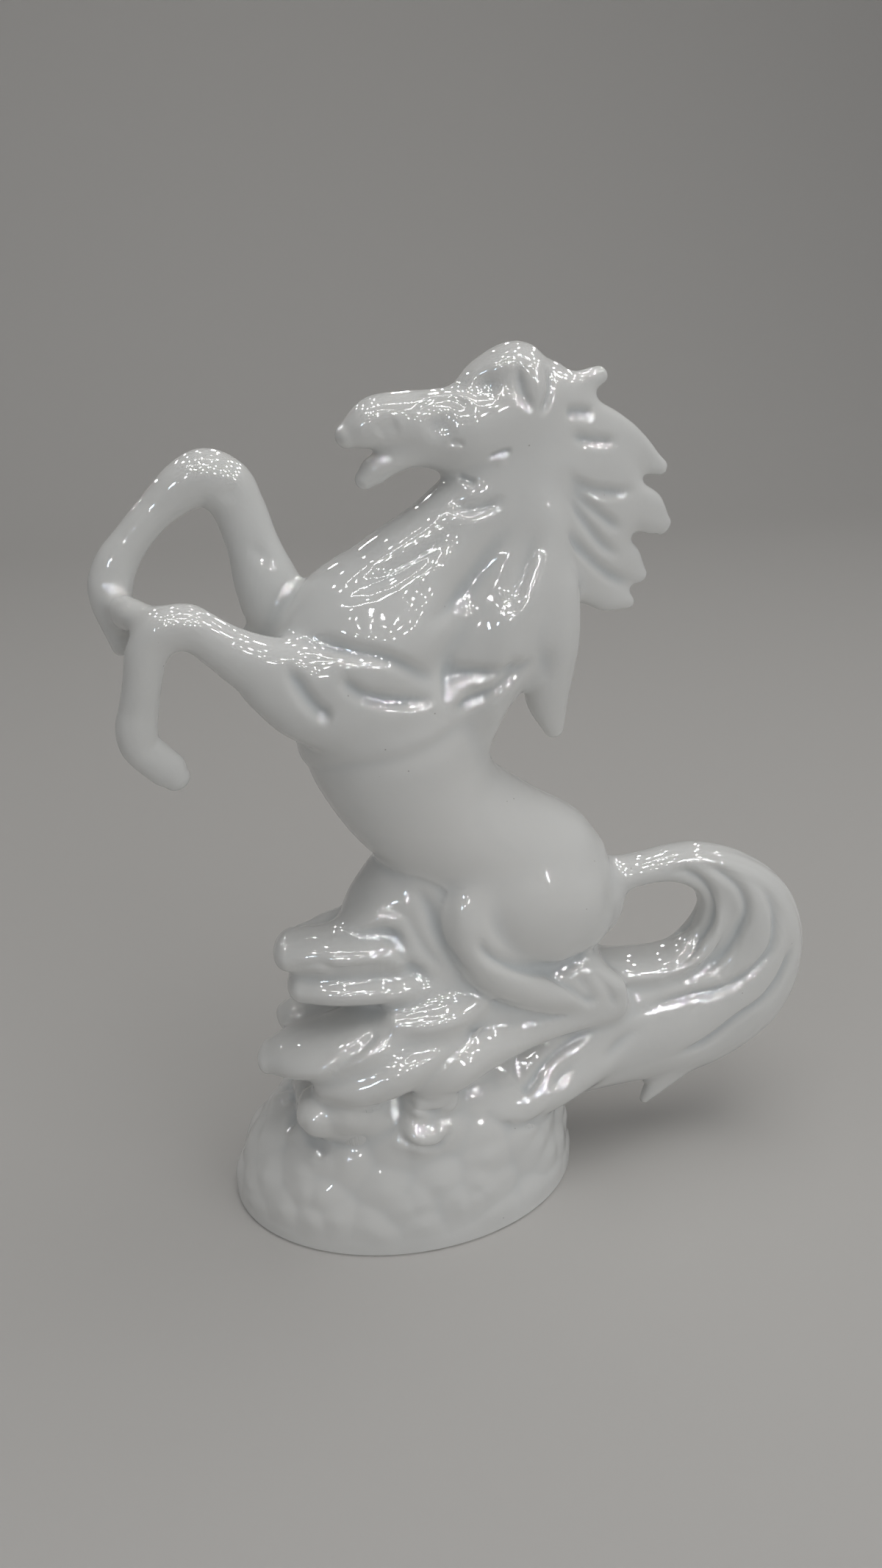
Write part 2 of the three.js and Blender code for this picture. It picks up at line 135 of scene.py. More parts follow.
def spline(points: Array, t: Array) -> tuple[Array, Array]:
    """Centripetal Catmull-Rom curve through points.

    Between two points the curve is the cubic that has, at both of them, the tangent of the
    quadratic through the point and its neighbours, with knots spaced by the square root of
    the distance.

    Args:
        points: Landmarks, one row each.
        t: Places along the curve, from 0 at the first landmark to 1 at the last.

    Returns:
        The points on the curve and their derivatives.
    """
    count = len(points)
    ends = np.vstack([2 * points[0] - points[1], points, 2 * points[-1] - points[-2]])
    place = np.clip(t, 0, 1) * (count - 1)
    start = np.minimum(place.astype(int), count - 2)
    w = (place - start)[:, None]
    p0, p1, p2, p3 = (ends[start + k] for k in range(4))
    d0, d1, d2 = (
        np.sqrt(np.linalg.norm(b - a, axis=1, keepdims=True)) + 1e-9
        for a, b in ((p0, p1), (p1, p2), (p2, p3))
    )
    m1 = d1 * ((p1 - p0) / d0 - (p2 - p0) / (d0 + d1) + (p2 - p1) / d1)
    m2 = d1 * ((p2 - p1) / d1 - (p3 - p1) / (d1 + d2) + (p3 - p2) / d2)
    c2 = -3 * p1 + 3 * p2 - 2 * m1 - m2
    c3 = 2 * p1 - 2 * p2 + m1 + m2
    return p1 + w * (m1 + w * (c2 + w * c3)), m1 + w * (2 * c2 + 3 * w * c3)


def unit(vectors: Array) -> Array:
    """Vectors at length one."""
    return vectors / np.maximum(np.linalg.norm(vectors, axis=-1, keepdims=True), 1e-9)


def smoothstep(low: float, high: float, x: Array) -> Array:
    """Zero below low, one above high and 3s^2 - 2s^3 between them."""
    s = np.clip((x - low) / (high - low), 0, 1)
    return s * s * (3 - 2 * s)


def sums(group: Array, rows: Array, count: int = 0) -> Array:
    """Sum of the rows that belong to each group.

    Args:
        group: The group of each row.
        rows: The rows.
        count: How many groups there are at least.

    Returns:
        One row a group.
    """
    columns = [np.bincount(group, weights=column, minlength=count) for column in rows.T]
    return np.stack(columns, axis=1)


@dataclass(frozen=True)
class Hair:
    """Strands that run along a loft and turn round it.

    The height at place t and angle a is -depth (1 - |sin(n (a + lean) / 2)|^sharp), with
    n strands and a lean of twist t plus a slow wander. Finer strands, three times as many,
    are laid over them, and all fade out at both ends.

    Attributes:
        strands: How many there are round the loft.
        depth: How deep the grooves between them are.
        twist: Angle by which they turn from one end to the other.
        wander: Angle by which they sway.
        sharp: Power that shapes a groove, sharper the lower it is.
        fine: Depth of the finer strands as a share of the main ones.
    """

    strands: int
    depth: float
    twist: float = 0.0
    wander: float = 0.25
    sharp: float = 0.6
    fine: float = 0.3

    def __call__(self, t: Array, angle: Array, width: Array) -> Array:
        """Height of the strands.

        Args:
            t: Places along the loft.
            angle: Angles round the loft.
            width: The loft's half width there as a share of its widest.

        Returns:
            Millimetres outwards, negative in the grooves.
        """
        lean = self.twist * t + self.wander * np.sin(2.2 * math.pi * t + 2 * angle + self.strands)
        main = 1 - np.abs(np.sin(self.strands / 2 * (angle + lean))) ** self.sharp
        sway = 1.2 * np.sin(3 * angle + 5 * t)
        finer = 1 - np.abs(np.sin(1.5 * self.strands * (angle + lean) + sway)) ** 0.8
        fade = np.sqrt(np.sin(math.pi * np.clip(t, 0.04, 0.96)))
        return -self.depth * fade * width**0.6 * (main + self.fine * finer)


@dataclass(frozen=True)
class Loft:
    """Oval section carried along a spline of landmarks, with both ends rounded.

    A point is centre(t) + half(t) cos(a) up + deep(t) sin(a) across, pushed outwards by
    the relief, where across lies along Y as far as it can and up is square to it.

    Attributes:
        section: The cast section that the clay belongs to.
        rows: Landmarks as x, y, z, half width in the horse's plane and half width across.
        blend: How wide the clay is rubbed into what it meets.
        relief: Height over the oval at t, angle and width.
        blunt: How far the rounded ends stand out, as a share of the half width.
        level: Whether its sections lie level, instead of square to its path.
    """

    section: Section
    rows: tuple
    blend: float = 2.0
    relief: Optional[Relief] = None
    blunt: float = 1.0
    level: bool = False

    def mirrored(self, section: Optional[Section] = None, shift: tuple = (0, 0, 0)) -> "Loft":
        """The same form on the other flank.

        Args:
            section: The section that it belongs to there.
            shift: How far it is moved after it is mirrored.

        Returns:
            The mirrored loft.
        """
        dx, dy, dz = shift
        rows = tuple((x + dx, dy - y, z + dz, half, deep) for x, y, z, half, deep in self.rows)
        return replace(self, section=section or self.section, rows=rows)

    def stations(self, t: Array) -> tuple[Array, Array, Array, Array, Array]:
        """Centres, directions and half widths along the loft.

        Args:
            t: Places along the loft.

        Returns:
            Centre, along, up, across and the two half widths.
        """
        rows = np.array(self.rows, float)
        centre, along = spline(rows[:, :3], t)
        along = np.tile([0.0, 0.0, 1.0], (len(t), 1)) if self.level else unit(along)
        widths, _ = spline(rows[:, 3:], t)
        y_axis = np.array([0.0, 1.0, 0.0])
        across = unit(y_axis - along * along[:, 1:2])
        return centre, along, np.cross(across, along), across, np.maximum(widths, 0.3)

    def length(self) -> float:
        """Length of the broken line through the landmarks."""
        points = np.array(self.rows, float)[:, :3]
        return float(np.linalg.norm(np.diff(points, axis=0), axis=1).sum())

    def skin(self) -> tuple[Array, Array, Array]:
        """The loft as a closed grid of rings with a pole at both ends.

        Returns:
            Points, the quads between the rings and the triangles round the poles.
        """
        widest = max(max(row[3:]) for row in self.rows)
        sides = int(np.clip(2 * math.pi * widest / SKIN_STEP, *SKIN_SIDES))
        count = int(np.clip(self.length() / SKIN_STEP, *SKIN_RINGS))
        steps = np.arange(-END_RINGS, count + END_RINGS + 1)
        t = np.clip(steps / count, 0, 1)
        beyond = np.where(steps < 0, steps, np.maximum(0, steps - count))
        turn = np.abs(beyond) / (END_RINGS + 1) * math.pi / 2
        centre, along, up, across, width = self.stations(t)
        nose = width.min(axis=1) * self.blunt
        centre = centre + along * (np.sign(beyond) * nose * np.sin(turn))[:, None]
        angle = np.linspace(0, 2 * math.pi, sides, endpoint=False)
        tt, aa = np.meshgrid(t, angle, indexing="ij")
        out = np.zeros_like(tt)
        if self.relief:
            share = np.repeat((width.max(axis=1) / widest)[:, None], sides, axis=1)
            out = self.relief(tt, aa, share)
        shrink = np.cos(turn)[:, None]
        u = (width[:, :1] + out) * shrink * np.cos(aa)
        v = (width[:, 1:] + out) * shrink * np.sin(aa)
        rings = centre[:, None] + u[..., None] * up[:, None] + v[..., None] * across[:, None]
        tip = nose[[0, -1]] * (1 - math.sin(turn[0])) * (-1, 1)
        poles = centre[[0, -1]] + along[[0, -1]] * tip[:, None]
        points = np.vstack([rings.reshape(-1, 3), poles])
        return points, ring_quads(len(t), sides), pole_triangles(len(t), sides)

    def distance(self, points: Array) -> Array:
        """Rough distance of points from the loft's skin, negative inside.

        The nearest of a row of centres gives an oval, and the distance is measured along
        the ray from that centre.

        Args:
            points: Points in millimetres.

        Returns:
            Distances, large where the point is far away.
        """
        rows = np.array(self.rows, float)
        far = np.full(len(points), OUT_OF_REACH)
        near = around(rows[:, :3], rows[:, 3:].max() + 8, points)
        if not len(near):
            return far
        count = int(np.clip(self.length() / CENTRE_STEP, *CENTRES))
        centre, along, up, across, width = self.stations(np.linspace(0, 1, count))
        best = nearest(points[near], centre)
        ray = points[near] - centre[best]
        u = np.einsum("ij,ij->i", ray, up[best])
        v = np.einsum("ij,ij->i", ray, across[best])
        w = np.einsum("ij,ij->i", ray, along[best])
        w = np.where(best == 0, np.minimum(w, 0), np.where(best == count - 1, np.maximum(w, 0), 0))
        half, deep = width[best].T
        nose = np.minimum(half, deep) * self.blunt
        size = np.maximum(np.sqrt((u / half) ** 2 + (v / deep) ** 2 + (w / nose) ** 2), 0.05)
        far[near] = np.sqrt(u * u + v * v + w * w) * (1 - 1 / size)
        return far


def nearest(points: Array, targets: Array) -> Array:
    """Index of the target that lies nearest to each point.

    Args:
        points: Points, worked on in parts to spare memory.
        targets: What they are compared with.

    Returns:
        One index a point.
    """
    length = (targets**2).sum(axis=1)[None]
    parts = np.array_split(points, 1 + len(points) // PART_SIZE)
    return np.concatenate([(length - 2 * part @ targets.T).argmin(axis=1) for part in parts])


def around(line: Array, reach: float, points: Array) -> Array:
    """Indices of the points in the box round a line, widened by a reach."""
    low, high = line.min(axis=0) - reach, line.max(axis=0) + reach
    return np.nonzero(np.all((points > low) & (points < high), axis=1))[0]


def quad_ends(quads: Array) -> Array:
    """Start and end vertex of each quad's four edges, one row an edge."""
    return np.stack([quads, np.roll(quads, -1, axis=1)], axis=-1).reshape(-1, 2)


def ring_quads(rings: int, sides: int) -> Array:
    """Quads between rings that follow one another, each ring closed on itself.

    Args:
        rings: How many rings there are.
        sides: Points in each ring.

    Returns:
        Four indices a quad.
    """
    i, k = np.meshgrid(np.arange(rings - 1), np.arange(sides), indexing="ij")
    j = (k + 1) % sides
    low, high = i * sides, (i + 1) * sides
    return np.stack([low + k, low + j, high + j, high + k], axis=-1).reshape(-1, 4)


def pole_triangles(rings: int, sides: int) -> Array:
    """Fans that close the first and the last ring with the two poles after them.

    Args:
        rings: How many rings there are.
        sides: Points in each ring.

    Returns:
        Three indices a triangle.
    """
    k = np.arange(sides)
    j = (k + 1) % sides
    last = (rings - 1) * sides
    pole = rings * sides
    first = np.column_stack([np.full(sides, pole), j, k])
    final = np.column_stack([np.full(sides, pole + 1), last + k, last + j])
    return np.vstack([first, final])


def mesh_from(name: str, points: Array, faces: Iterable[Array]) -> bpy.types.Mesh:
    """A smooth-shaded mesh from whole arrays.

    Args:
        name: The mesh's name.
        points: Vertex places.
        faces: Arrays of faces, each with one number of corners.

    Returns:
        The new mesh.
    """
    parts = [np.asarray(part, np.int32) for part in faces if len(part)]
    corners = np.concatenate([np.full(len(part), part.shape[1], np.int32) for part in parts])
    loops = np.concatenate([part.ravel() for part in parts])
    mesh = bpy.data.meshes.new(name)
    mesh.vertices.add(len(points))
    mesh.loops.add(len(loops))
    mesh.polygons.add(len(corners))
    mesh.vertices.foreach_set("co", np.ascontiguousarray(points, np.float32).ravel())
    mesh.loops.foreach_set("vertex_index", loops)
    mesh.polygons.foreach_set("loop_start", (np.cumsum(corners) - corners).astype(np.int32))
    mesh.polygons.foreach_set("use_smooth", np.ones(len(corners), bool))
    mesh.update(calc_edges=True)
    return mesh


@dataclass(frozen=True)
class Sight:
    """The photograph's camera, solved from the oval of the foot.

    Attributes:
        eye: Its place in millimetres from the foot's centre.
        pitch: Degrees by which it looks down.
        yaw: Degrees by which it is turned away from square to the near side.
        focal: Focal length in the photograph's pixels.
    """

    eye: tuple = (-73.7, -351.6, 321.0)
    pitch: float = 24.0
    yaw: float = 14.0
    focal: float = 1600.0

    def axes(self) -> Array:
        """Unit vectors to the right, upwards and forwards."""
        pitch, yaw = math.radians(self.pitch), math.radians(self.yaw)
        level = math.cos(pitch)
        forward = np.array([math.sin(yaw) * level, math.cos(yaw) * level, -math.sin(pitch)])
        right = np.array([math.cos(yaw), -math.sin(yaw), 0.0])
        return np.stack([right, np.cross(right, forward), forward])

    def rays(self, marks: Array) -> Array:
        """Directions in which marks on the photograph are seen.

        Args:
            marks: Pixel places, x to the right and y down.

        Returns:
            Unit directions.
        """
        right, up, forward = self.axes()
        x = (marks[:, :1] - PHOTO_WIDTH / 2) / self.focal
        y = (PHOTO_HEIGHT / 2 - marks[:, 1:2]) / self.focal
        return unit(forward + x * right + y * up)


@dataclass(frozen=True)
class Stroke:
    """One pass of a tool over the clay, along a line that is seen in the photograph.

    A groove lowers the clay by depth exp(-(r / width)^2) at distance r from its line. A
    step raises the side that lies to the left of the line by half of depth and lowers the
    other by as much, turning over within width and dying out around it. Both fade at the
    ends of the line.

    Attributes:
        marks: Pixel places along the line, or one for a dent.
        width: Half width of the tool in millimetres.
        depth: How deep it goes. Negative leaves a ridge or a bump.
        tool: The shape that it leaves.
        flank: Where it is worked.
        taper: The share of the line that fades at each end.
    """

    marks: tuple
    width: float
    depth: float
    tool: Tool = Tool.GROOVE
    flank: Flank = Flank.BOTH
    taper: float = 0.25

    def line(self) -> tuple[Array, Array]:
        """Pixel places close together along the line, and how hard the tool presses there."""
        marks = np.array(self.marks, float).reshape(-1, 2)
        if len(marks) == 1:
            return marks, np.ones(1)
        length = np.linalg.norm(np.diff(marks, axis=0), axis=1).sum()
        t = np.linspace(0, 1, int(np.clip(length / 3, 8, 240)))
        press = smoothstep(0, 1, np.minimum(t, 1 - t) / max(self.taper, 1e-3))
        return spline(marks, t)[0], press


@dataclass
class Clay:
    """The figure's skin as arrays, in millimetres from the foot's centre.

    Attributes:
        points: Vertex places.
        quads: Four vertex indices a face.
        edges: Start and end vertex of every edge, both ways round, in rows.
    """

    points: Array
    quads: Array
    edges: Array = field(init=False)

    def __post_init__(self) -> None:
        """Finds the skin's edges once, for rubbing."""
        ends = np.sort(quad_ends(self.quads), axis=1)
        count = len(self.points)
        low, high = np.divmod(np.unique(ends[:, 0] * count + ends[:, 1]), count)
        self.edges = np.stack([np.concatenate([low, high]), np.concatenate([high, low])])

    def mean_of(self, values: Array) -> Array:
        """Mean of each vertex's neighbours.

        Args:
            values: One row a vertex.

        Returns:
            The mean over the vertices that share an edge with it.
        """
        start, end = self.edges
        count = np.maximum(np.bincount(start, minlength=len(self.points)), 1)
        rows = values.reshape(len(values), -1)
        return (sums(start, rows[end], len(rows)) / count[:, None]).reshape(values.shape)

    def rub(self, passes: int, share: Array | float) -> None:
        """Rubs the skin down.

        Each pass moves a vertex by half of its share towards the mean of its neighbours.

        Args:
            passes: How often the skin is rubbed.
            share: How much of the rubbing each vertex takes.
        """
        share = np.broadcast_to(np.asarray(share, float), len(self.points))
        chosen = np.nonzero(share > 0.02)[0]
        number = np.full(len(self.points), -1)
        number[chosen] = np.arange(len(chosen))
        start, end = self.edges[:, number[self.edges[0]] >= 0]
        start = number[start]
        half = (0.5 * share[chosen])[:, None]
        weight = half / np.bincount(start, minlength=len(chosen))[:, None]
        for _ in range(passes):
            total = sums(start, self.points[end], len(chosen))
            self.points[chosen] += total * weight - self.points[chosen] * half

    def polish(self, passes: int) -> None:
        """Takes off the grain without shrinking the form: a pass inwards, then one outwards.

        Args:
            passes: How many pairs of passes are made.
        """
        for _ in range(passes):
            for step in (0.5, -0.53):
                self.points = self.points + step * (self.mean_of(self.points) - self.points)

    def normals(self) -> Array:
        """Unit normals at the vertices, from the cross products of the quads' diagonals."""
        p = self.points[self.quads]
        face = np.cross(p[:, 2] - p[:, 0], p[:, 3] - p[:, 1])
        return unit(sums(self.quads.ravel(), np.repeat(face, 4, axis=0), len(self.points)))

    def tool(self, strokes: Iterable[Stroke], sight: Sight) -> None:
        """Works strokes into the skin.

        Every line is first dropped onto the skin along the photograph's lines of sight. The
        far side gets the line's mirror image, dropped on it from the mirrored camera.

        Args:
            strokes: The strokes, all worked on the same untooled skin.
            sight: The photograph's camera.
        """
        normal = self.normals()
        tree = BVHTree.FromPolygons(self.points.tolist(), self.quads.tolist())
        eye = np.array(sight.eye)
        flip = np.array([1.0, -1.0, 1.0])
        height = np.zeros(len(self.points))
        for stroke in strokes:
            marks, press = stroke.line()
            line, hit = seen(tree, eye, sight.rays(marks))
            if not hit.any():
                continue
            height += self.pressed(line[hit], press[hit], stroke, normal, 1.0)
            if stroke.flank is Flank.BOTH:
                there = line[hit] * flip
                line, met = seen(tree, eye * flip, unit(there - eye * flip))
                met &= np.linalg.norm(line - there, axis=1) < MIRROR_REACH
                if met.any():
                    height += self.pressed(line[met], press[hit][met], stroke, normal, -1.0)
        self.points = self.points + normal * height[:, None]

    def pressed(
        self, line: Array, press: Array, stroke: Stroke, normal: Array, hand: float
    ) -> Array:
        """Height that one line of a stroke gives to the skin.

        Args:
            line: Points of the line, on the skin.
            press: How strongly the tool presses at each of them.
            stroke: The stroke's width, depth and tool.
            normal: The skin's normals.
            hand: 1 where the line runs as in the photograph, -1 where it is mirrored.

        Returns:
            Millimetres outwards for every vertex.
        """
        reach = stroke.width * (GROOVE_REACH if stroke.tool is Tool.GROOVE else STEP_REACH)
        height = np.zeros(len(self.points))
        near = around(line, reach, self.points)
        if not len(near):
            return height
        best = nearest(self.points[near], line)
        ray = self.points[near] - line[best]
        r = np.linalg.norm(ray, axis=1)
        close = r < reach
        near, best, ray, r = near[close], best[close], ray[close], r[close]
        if not len(near):
            return height
        front = line_normal(line, self.points, normal)[best]
        facing = smoothstep(-0.1, 0.4, (normal[near] * front).sum(axis=1))
        if stroke.tool is Tool.GROOVE:
            value = -stroke.depth * np.exp(-((r / stroke.width) ** 2))
        else:
            along = unit(np.gradient(line, axis=0))[best]
            left = np.cross(normal[near], along) * hand
            side = np.tanh((ray * left).sum(axis=1) / stroke.width)
            value = stroke.depth / 2 * side * np.exp(-((r / (2.2 * stroke.width)) ** 2))
        height[near] = value * press[best] * facing
        return height

    def hammer(self, where: Array, centres: Array, spacing: float, depth: float) -> None:
        """Beats the skin into soft facets.

        The height is depth (0.3 - d / spacing), with d the distance to the nearest centre.

        Args:
            where: How strongly each vertex is beaten.
            centres: Middles of the facets.
            spacing: How far they lie apart.
            depth: How much higher a facet's middle is than its rim.
        """
        height = np.zeros(len(self.points))
        chosen = np.nonzero(where > 0.01)[0]
        gap = self.points[chosen] - centres[nearest(self.points[chosen], centres)]
        height[chosen] = 0.3 - np.minimum(np.linalg.norm(gap, axis=1) / spacing, 1)
        self.points = self.points + self.normals() * (depth * where * height)[:, None]


def seen(tree: BVHTree, eye: Array, rays: Array) -> tuple[Array, Array]:
    """Where rays from the eye meet the skin.

    Args:
        tree: The skin.
        eye: Where the rays start.
        rays: Unit directions.

    Returns:
        The places, and whether there is one.
    """
    hits = [tree.ray_cast(Vector(eye), Vector(ray))[0] for ray in rays]
    met = np.array([hit is not None for hit in hits])
    return np.array([tuple(hit) if hit is not None else (0.0, 0.0, 0.0) for hit in hits]), met


def line_normal(line: Array, points: Array, normal: Array) -> Array:
    """The skin's normal at each point of a line, taken from the vertex nearest to it.

    Args:
        line: Points on the skin.
        points: The skin's vertices.
        normal: Their normals.

    Returns:
        One normal a point.
    """
    near = around(line, 2.0, points)
    if not len(near):
        return np.tile([0.0, -1.0, 0.0], (len(line), 1))
    return normal[near[nearest(line, points[near])]]


@dataclass
class Rockwork:
    """Oval mound, the crest of rock on it and the ledges that reach out of it.

    Attributes:
        foot_half_length: Half of the foot's length.
        foot_half_width: Half of its width.
        mound_height: Height that the ovals' rises are shares of.
        wall: Thickness of the clay round the hollow.
        crown: How far the top is domed, as a share of the top oval's half width.
        facet_cell: Size of the net from whose cells the facets' middles are picked.
        facet_spacing: Distance at which a facet's edge is lowest.
        facet_height: How much higher a facet's middle is than its edge.
        facet_seed: Seed of the net's jitter and of the draw in each cell.
        ovals: Lean along X, rise, and length and width as shares of the foot's.
        rock_creases: Creases between the folds of rock.
        pebble_creases: Creases under the two pebbles.
    """

    foot_half_length: float = 65.0
    foot_half_width: float = 47.0
    mound_height: float = 64.0
    wall: float = 4.5
    crown: float = 0.28
    facet_cell: float = 15.0
    facet_spacing: float = 17.0
    facet_height: float = 3.2
    facet_seed: int = 7
    ovals: tuple = (
        (0, 0.0, 1.0, 1.0), (0, 0.13, 0.995, 0.99), (1, 0.3, 0.95, 0.945), (4, 0.47, 0.87, 0.89),
        (7, 0.63, 0.78, 0.82), (9, 0.78, 0.68, 0.73), (10, 0.9, 0.55, 0.61),
    )
    rock_creases: tuple = (
        ((447, 1266), (488, 1270), (523, 1269), (543, 1283), (553, 1307), (574, 1328), (602, 1335)),
        ((505, 1242), (533, 1239), (553, 1249), (567, 1273), (588, 1304), (615, 1328)),
        ((560, 1201), (581, 1232), (595, 1270), (615, 1304), (643, 1335)),
        ((385, 1314), (409, 1318), (433, 1313), (454, 1321), (485, 1319), (519, 1316), (547, 1311)),
        ((443, 1473), (467, 1445), (495, 1421), (519, 1400)),
        ((392, 1476), (395, 1510), (392, 1545)),
        ((405, 1490), (402, 1524), (426, 1559), (460, 1576)),
    )
    pebble_creases: tuple = (
        ((553, 1488), (560, 1505), (585, 1514), (610, 1507), (618, 1490)),
        ((545, 1530), (550, 1552), (572, 1563), (597, 1560), (611, 1545), (612, 1526)),
    )

    def mound_rows(self, wall: float) -> tuple:
        """Landmarks of the mound, set in by a wall.

        Args:
            wall: How far inside the skin the rows lie.

        Returns:
            Rows for a loft.
        """
        return tuple(
            (
                lean,
                0.0,
                rise * (self.mound_height - wall),
                long * self.foot_half_length - wall,
                wide * self.foot_half_width - wall,
            )
            for lean, rise, long, wide in self.ovals
        )

    def forms(self) -> list[Loft]:
        """Lofts of the mound, the crest and the ledges."""
        rows = self.mound_rows(0.0)
        below = (rows[0][0], 0.0, -6.0, rows[0][3], rows[0][4])
        mound = Loft(Section.PEDESTAL, (below,) + rows, 5.0, blunt=self.crown, level=True)
        crest = Loft(Section.CREST, (
            (10, 0, 56, 34, 24), (11, 0, 70, 31, 22), (13, 0, 84, 26, 21), (10, 0, 98, 23, 21.5),
            (8, 0, 112, 20, 21.5), (6, 0, 126, 16, 20),
        ), 5.0)
        heart = Loft(Section.CREST, (
            (-1, 0, 124, 14, 17), (-8, 0, 110, 15, 17), (-8, 0, 93, 16, 19), (-2, 0, 79, 20, 21),
            (2, 0, 66, 22, 22),
        ), 5.0)
        fold = Loft(Section.CREST, (
            (-24, -6, 110, 5, 8), (-13, -11, 118, 6, 8), (-4, -14, 121, 6, 7), (2, -17, 110, 6, 6),
            (11, -18, 98, 6, 6), (20, -18, 90, 5, 5),
        ), 5.0)
        saddle = Loft(Section.CREST, (
            (-8, -9, 97, 9, 12), (6, -12, 91, 11, 14), (24, -15, 78, 10, 12), (45, -14, 75, 8, 10),
            (67, -11, 73, 5.4, 7),
        ), 5.0)
        pebbles = [
            Loft(Section.PEDESTAL, rows, blend)
            for rows, blend in (
                (((-2.2, -31.6, 53.6, 4.4, 6), (7, -31.6, 54, 4.4, 6)), 3.0),
                (((-4, -34.6, 42.8, 6.4, 6.4), (3.6, -34.6, 42.8, 6.4, 6.4)), 4.0),
                (((-34, -20, 48, 10, 11), (-22, -24, 49, 11, 11)), 8.0),
            )
        ]
        upper = (
            (
                (-40, -7, 107, 7, 11), (-26, -11, 108, 7.4, 13), (-8, -13, 107, 7.2, 12),
                (8, -10, 104, 6.5, 10),
            ),
            (
                (-36, -8, 95, 7, 12), (-22, -12, 95.5, 7.4, 14), (-4, -14, 94.5, 7, 13),
                (11, -10, 92, 6.5, 10),
            ),
            ((-33, 6, 101, 7, 10), (-16, 11, 102, 7.4, 12), (8, 12, 101, 6.5, 10)),
        )
        lower = (
            (
                (-50, -8, 65.6, 5, 9), (-43, -10, 68, 6.8, 13.5), (-32, -14, 71, 7.8, 16.5),
                (-17, -17, 76, 7.8, 17), (2, -12, 80, 7, 14),
            ),
            (
                (-31, -21, 61, 6, 9), (-20, -26, 63.5, 8.6, 11), (-6, -28, 69, 9, 11),
                (10, -25, 75, 7.5, 9),
            ),
            ((-7, -22, 82.5, 7, 9.5), (6, -24, 83.5, 7.4, 10), (20, -20, 85, 6, 9)),
            ((-38, 6, 68, 6.5, 14), (-18, 14, 72, 7.4, 17), (6, 15, 77, 7, 14)),
            ((-16, 12, 61, 11, 15), (2, 16, 66, 12, 16), (18, 14, 74, 9, 12)),
        )
        tongues = [Loft(Section.UPPER_LEDGE, rows, 3.0) for rows in upper]
        tongues += [Loft(Section.LOWER_LEDGE, rows, 3.4) for rows in lower]
        folds = [fold, fold.mirrored(shift=(7, 2, -2)), saddle, saddle.mirrored()]
        return [mound, crest, heart] + folds + pebbles + tongues

    def ovals_up(self, wall: float, count: int, turn: Array) -> Array:
        """Level ovals from the table to the top of the mound's dome.

        Args:
            wall: How far inside the skin they lie.
            count: How many there are up to the topmost landmark.
            turn: Angles of those above it, up to a right angle at the dome's middle.

        Returns:
            Middle along X, height, half length and half width, in rows.
        """
        rows = np.array(self.mound_rows(wall))
        t = np.linspace(0, 1, count)
        middle, _ = spline(rows[:, :3], t)
        half, _ = spline(rows[:, 3:], t)
        rise = half[-1, 1] * self.crown * np.sin(turn)
        shrunk = half[-1] * np.cos(turn)[:, None]
        return np.stack(
            [
                np.append(middle[:, 0], np.full(len(turn), middle[-1, 0])),
                np.append(middle[:, 2], middle[-1, 2] + rise),
                *np.vstack([half, shrunk]).T,
            ]
        )

    def dome(self, places: Array, inset: float) -> Array:
        """Height of the mound's skin over places on the table.

        The height is the greatest at which the mound's oval still holds the place.

        Args:
            places: Points, of which x and y count.
            inset: How far below the skin the height lies.

        Returns:
            Heights in millimetres.
        """
        lean, level, long, wide = self.ovals_up(0.0, 160, np.linspace(0, math.pi / 2, 20)[1:])
        along = (places[:, :1] - lean) / (long + 0.01)
        across = places[:, 1:2] / (wide + 0.01)
        return np.where(along**2 + across**2 <= 1, level, 0.0).max(axis=1) - inset

    def facets(self, points: Array) -> Array:
        """Middles of the soft facets that the mound is beaten into.

        They are picked from the mound's own vertices, one in every cell of a jittered net.

        Args:
            points: Vertices of the mound.

        Returns:
            The middles.
        """
        draw = np.random.default_rng(self.facet_seed)
        cell = np.floor(points / self.facet_cell + draw.random(3)).astype(int)
        _, group = np.unique(cell, axis=0, return_inverse=True)
        order = draw.permutation(len(points))
        _, first = np.unique(group.ravel()[order], return_index=True)
        return points[order[first]]

    def strokes(self) -> list[Stroke]:
        """Creases between the folds of rock and under the pebbles."""
        rock = [Stroke(marks, 2.6, 1.4) for marks in self.rock_creases]
        return rock + [Stroke(marks, 1.6, 1.2, flank=Flank.NEAR) for marks in self.pebble_creases]


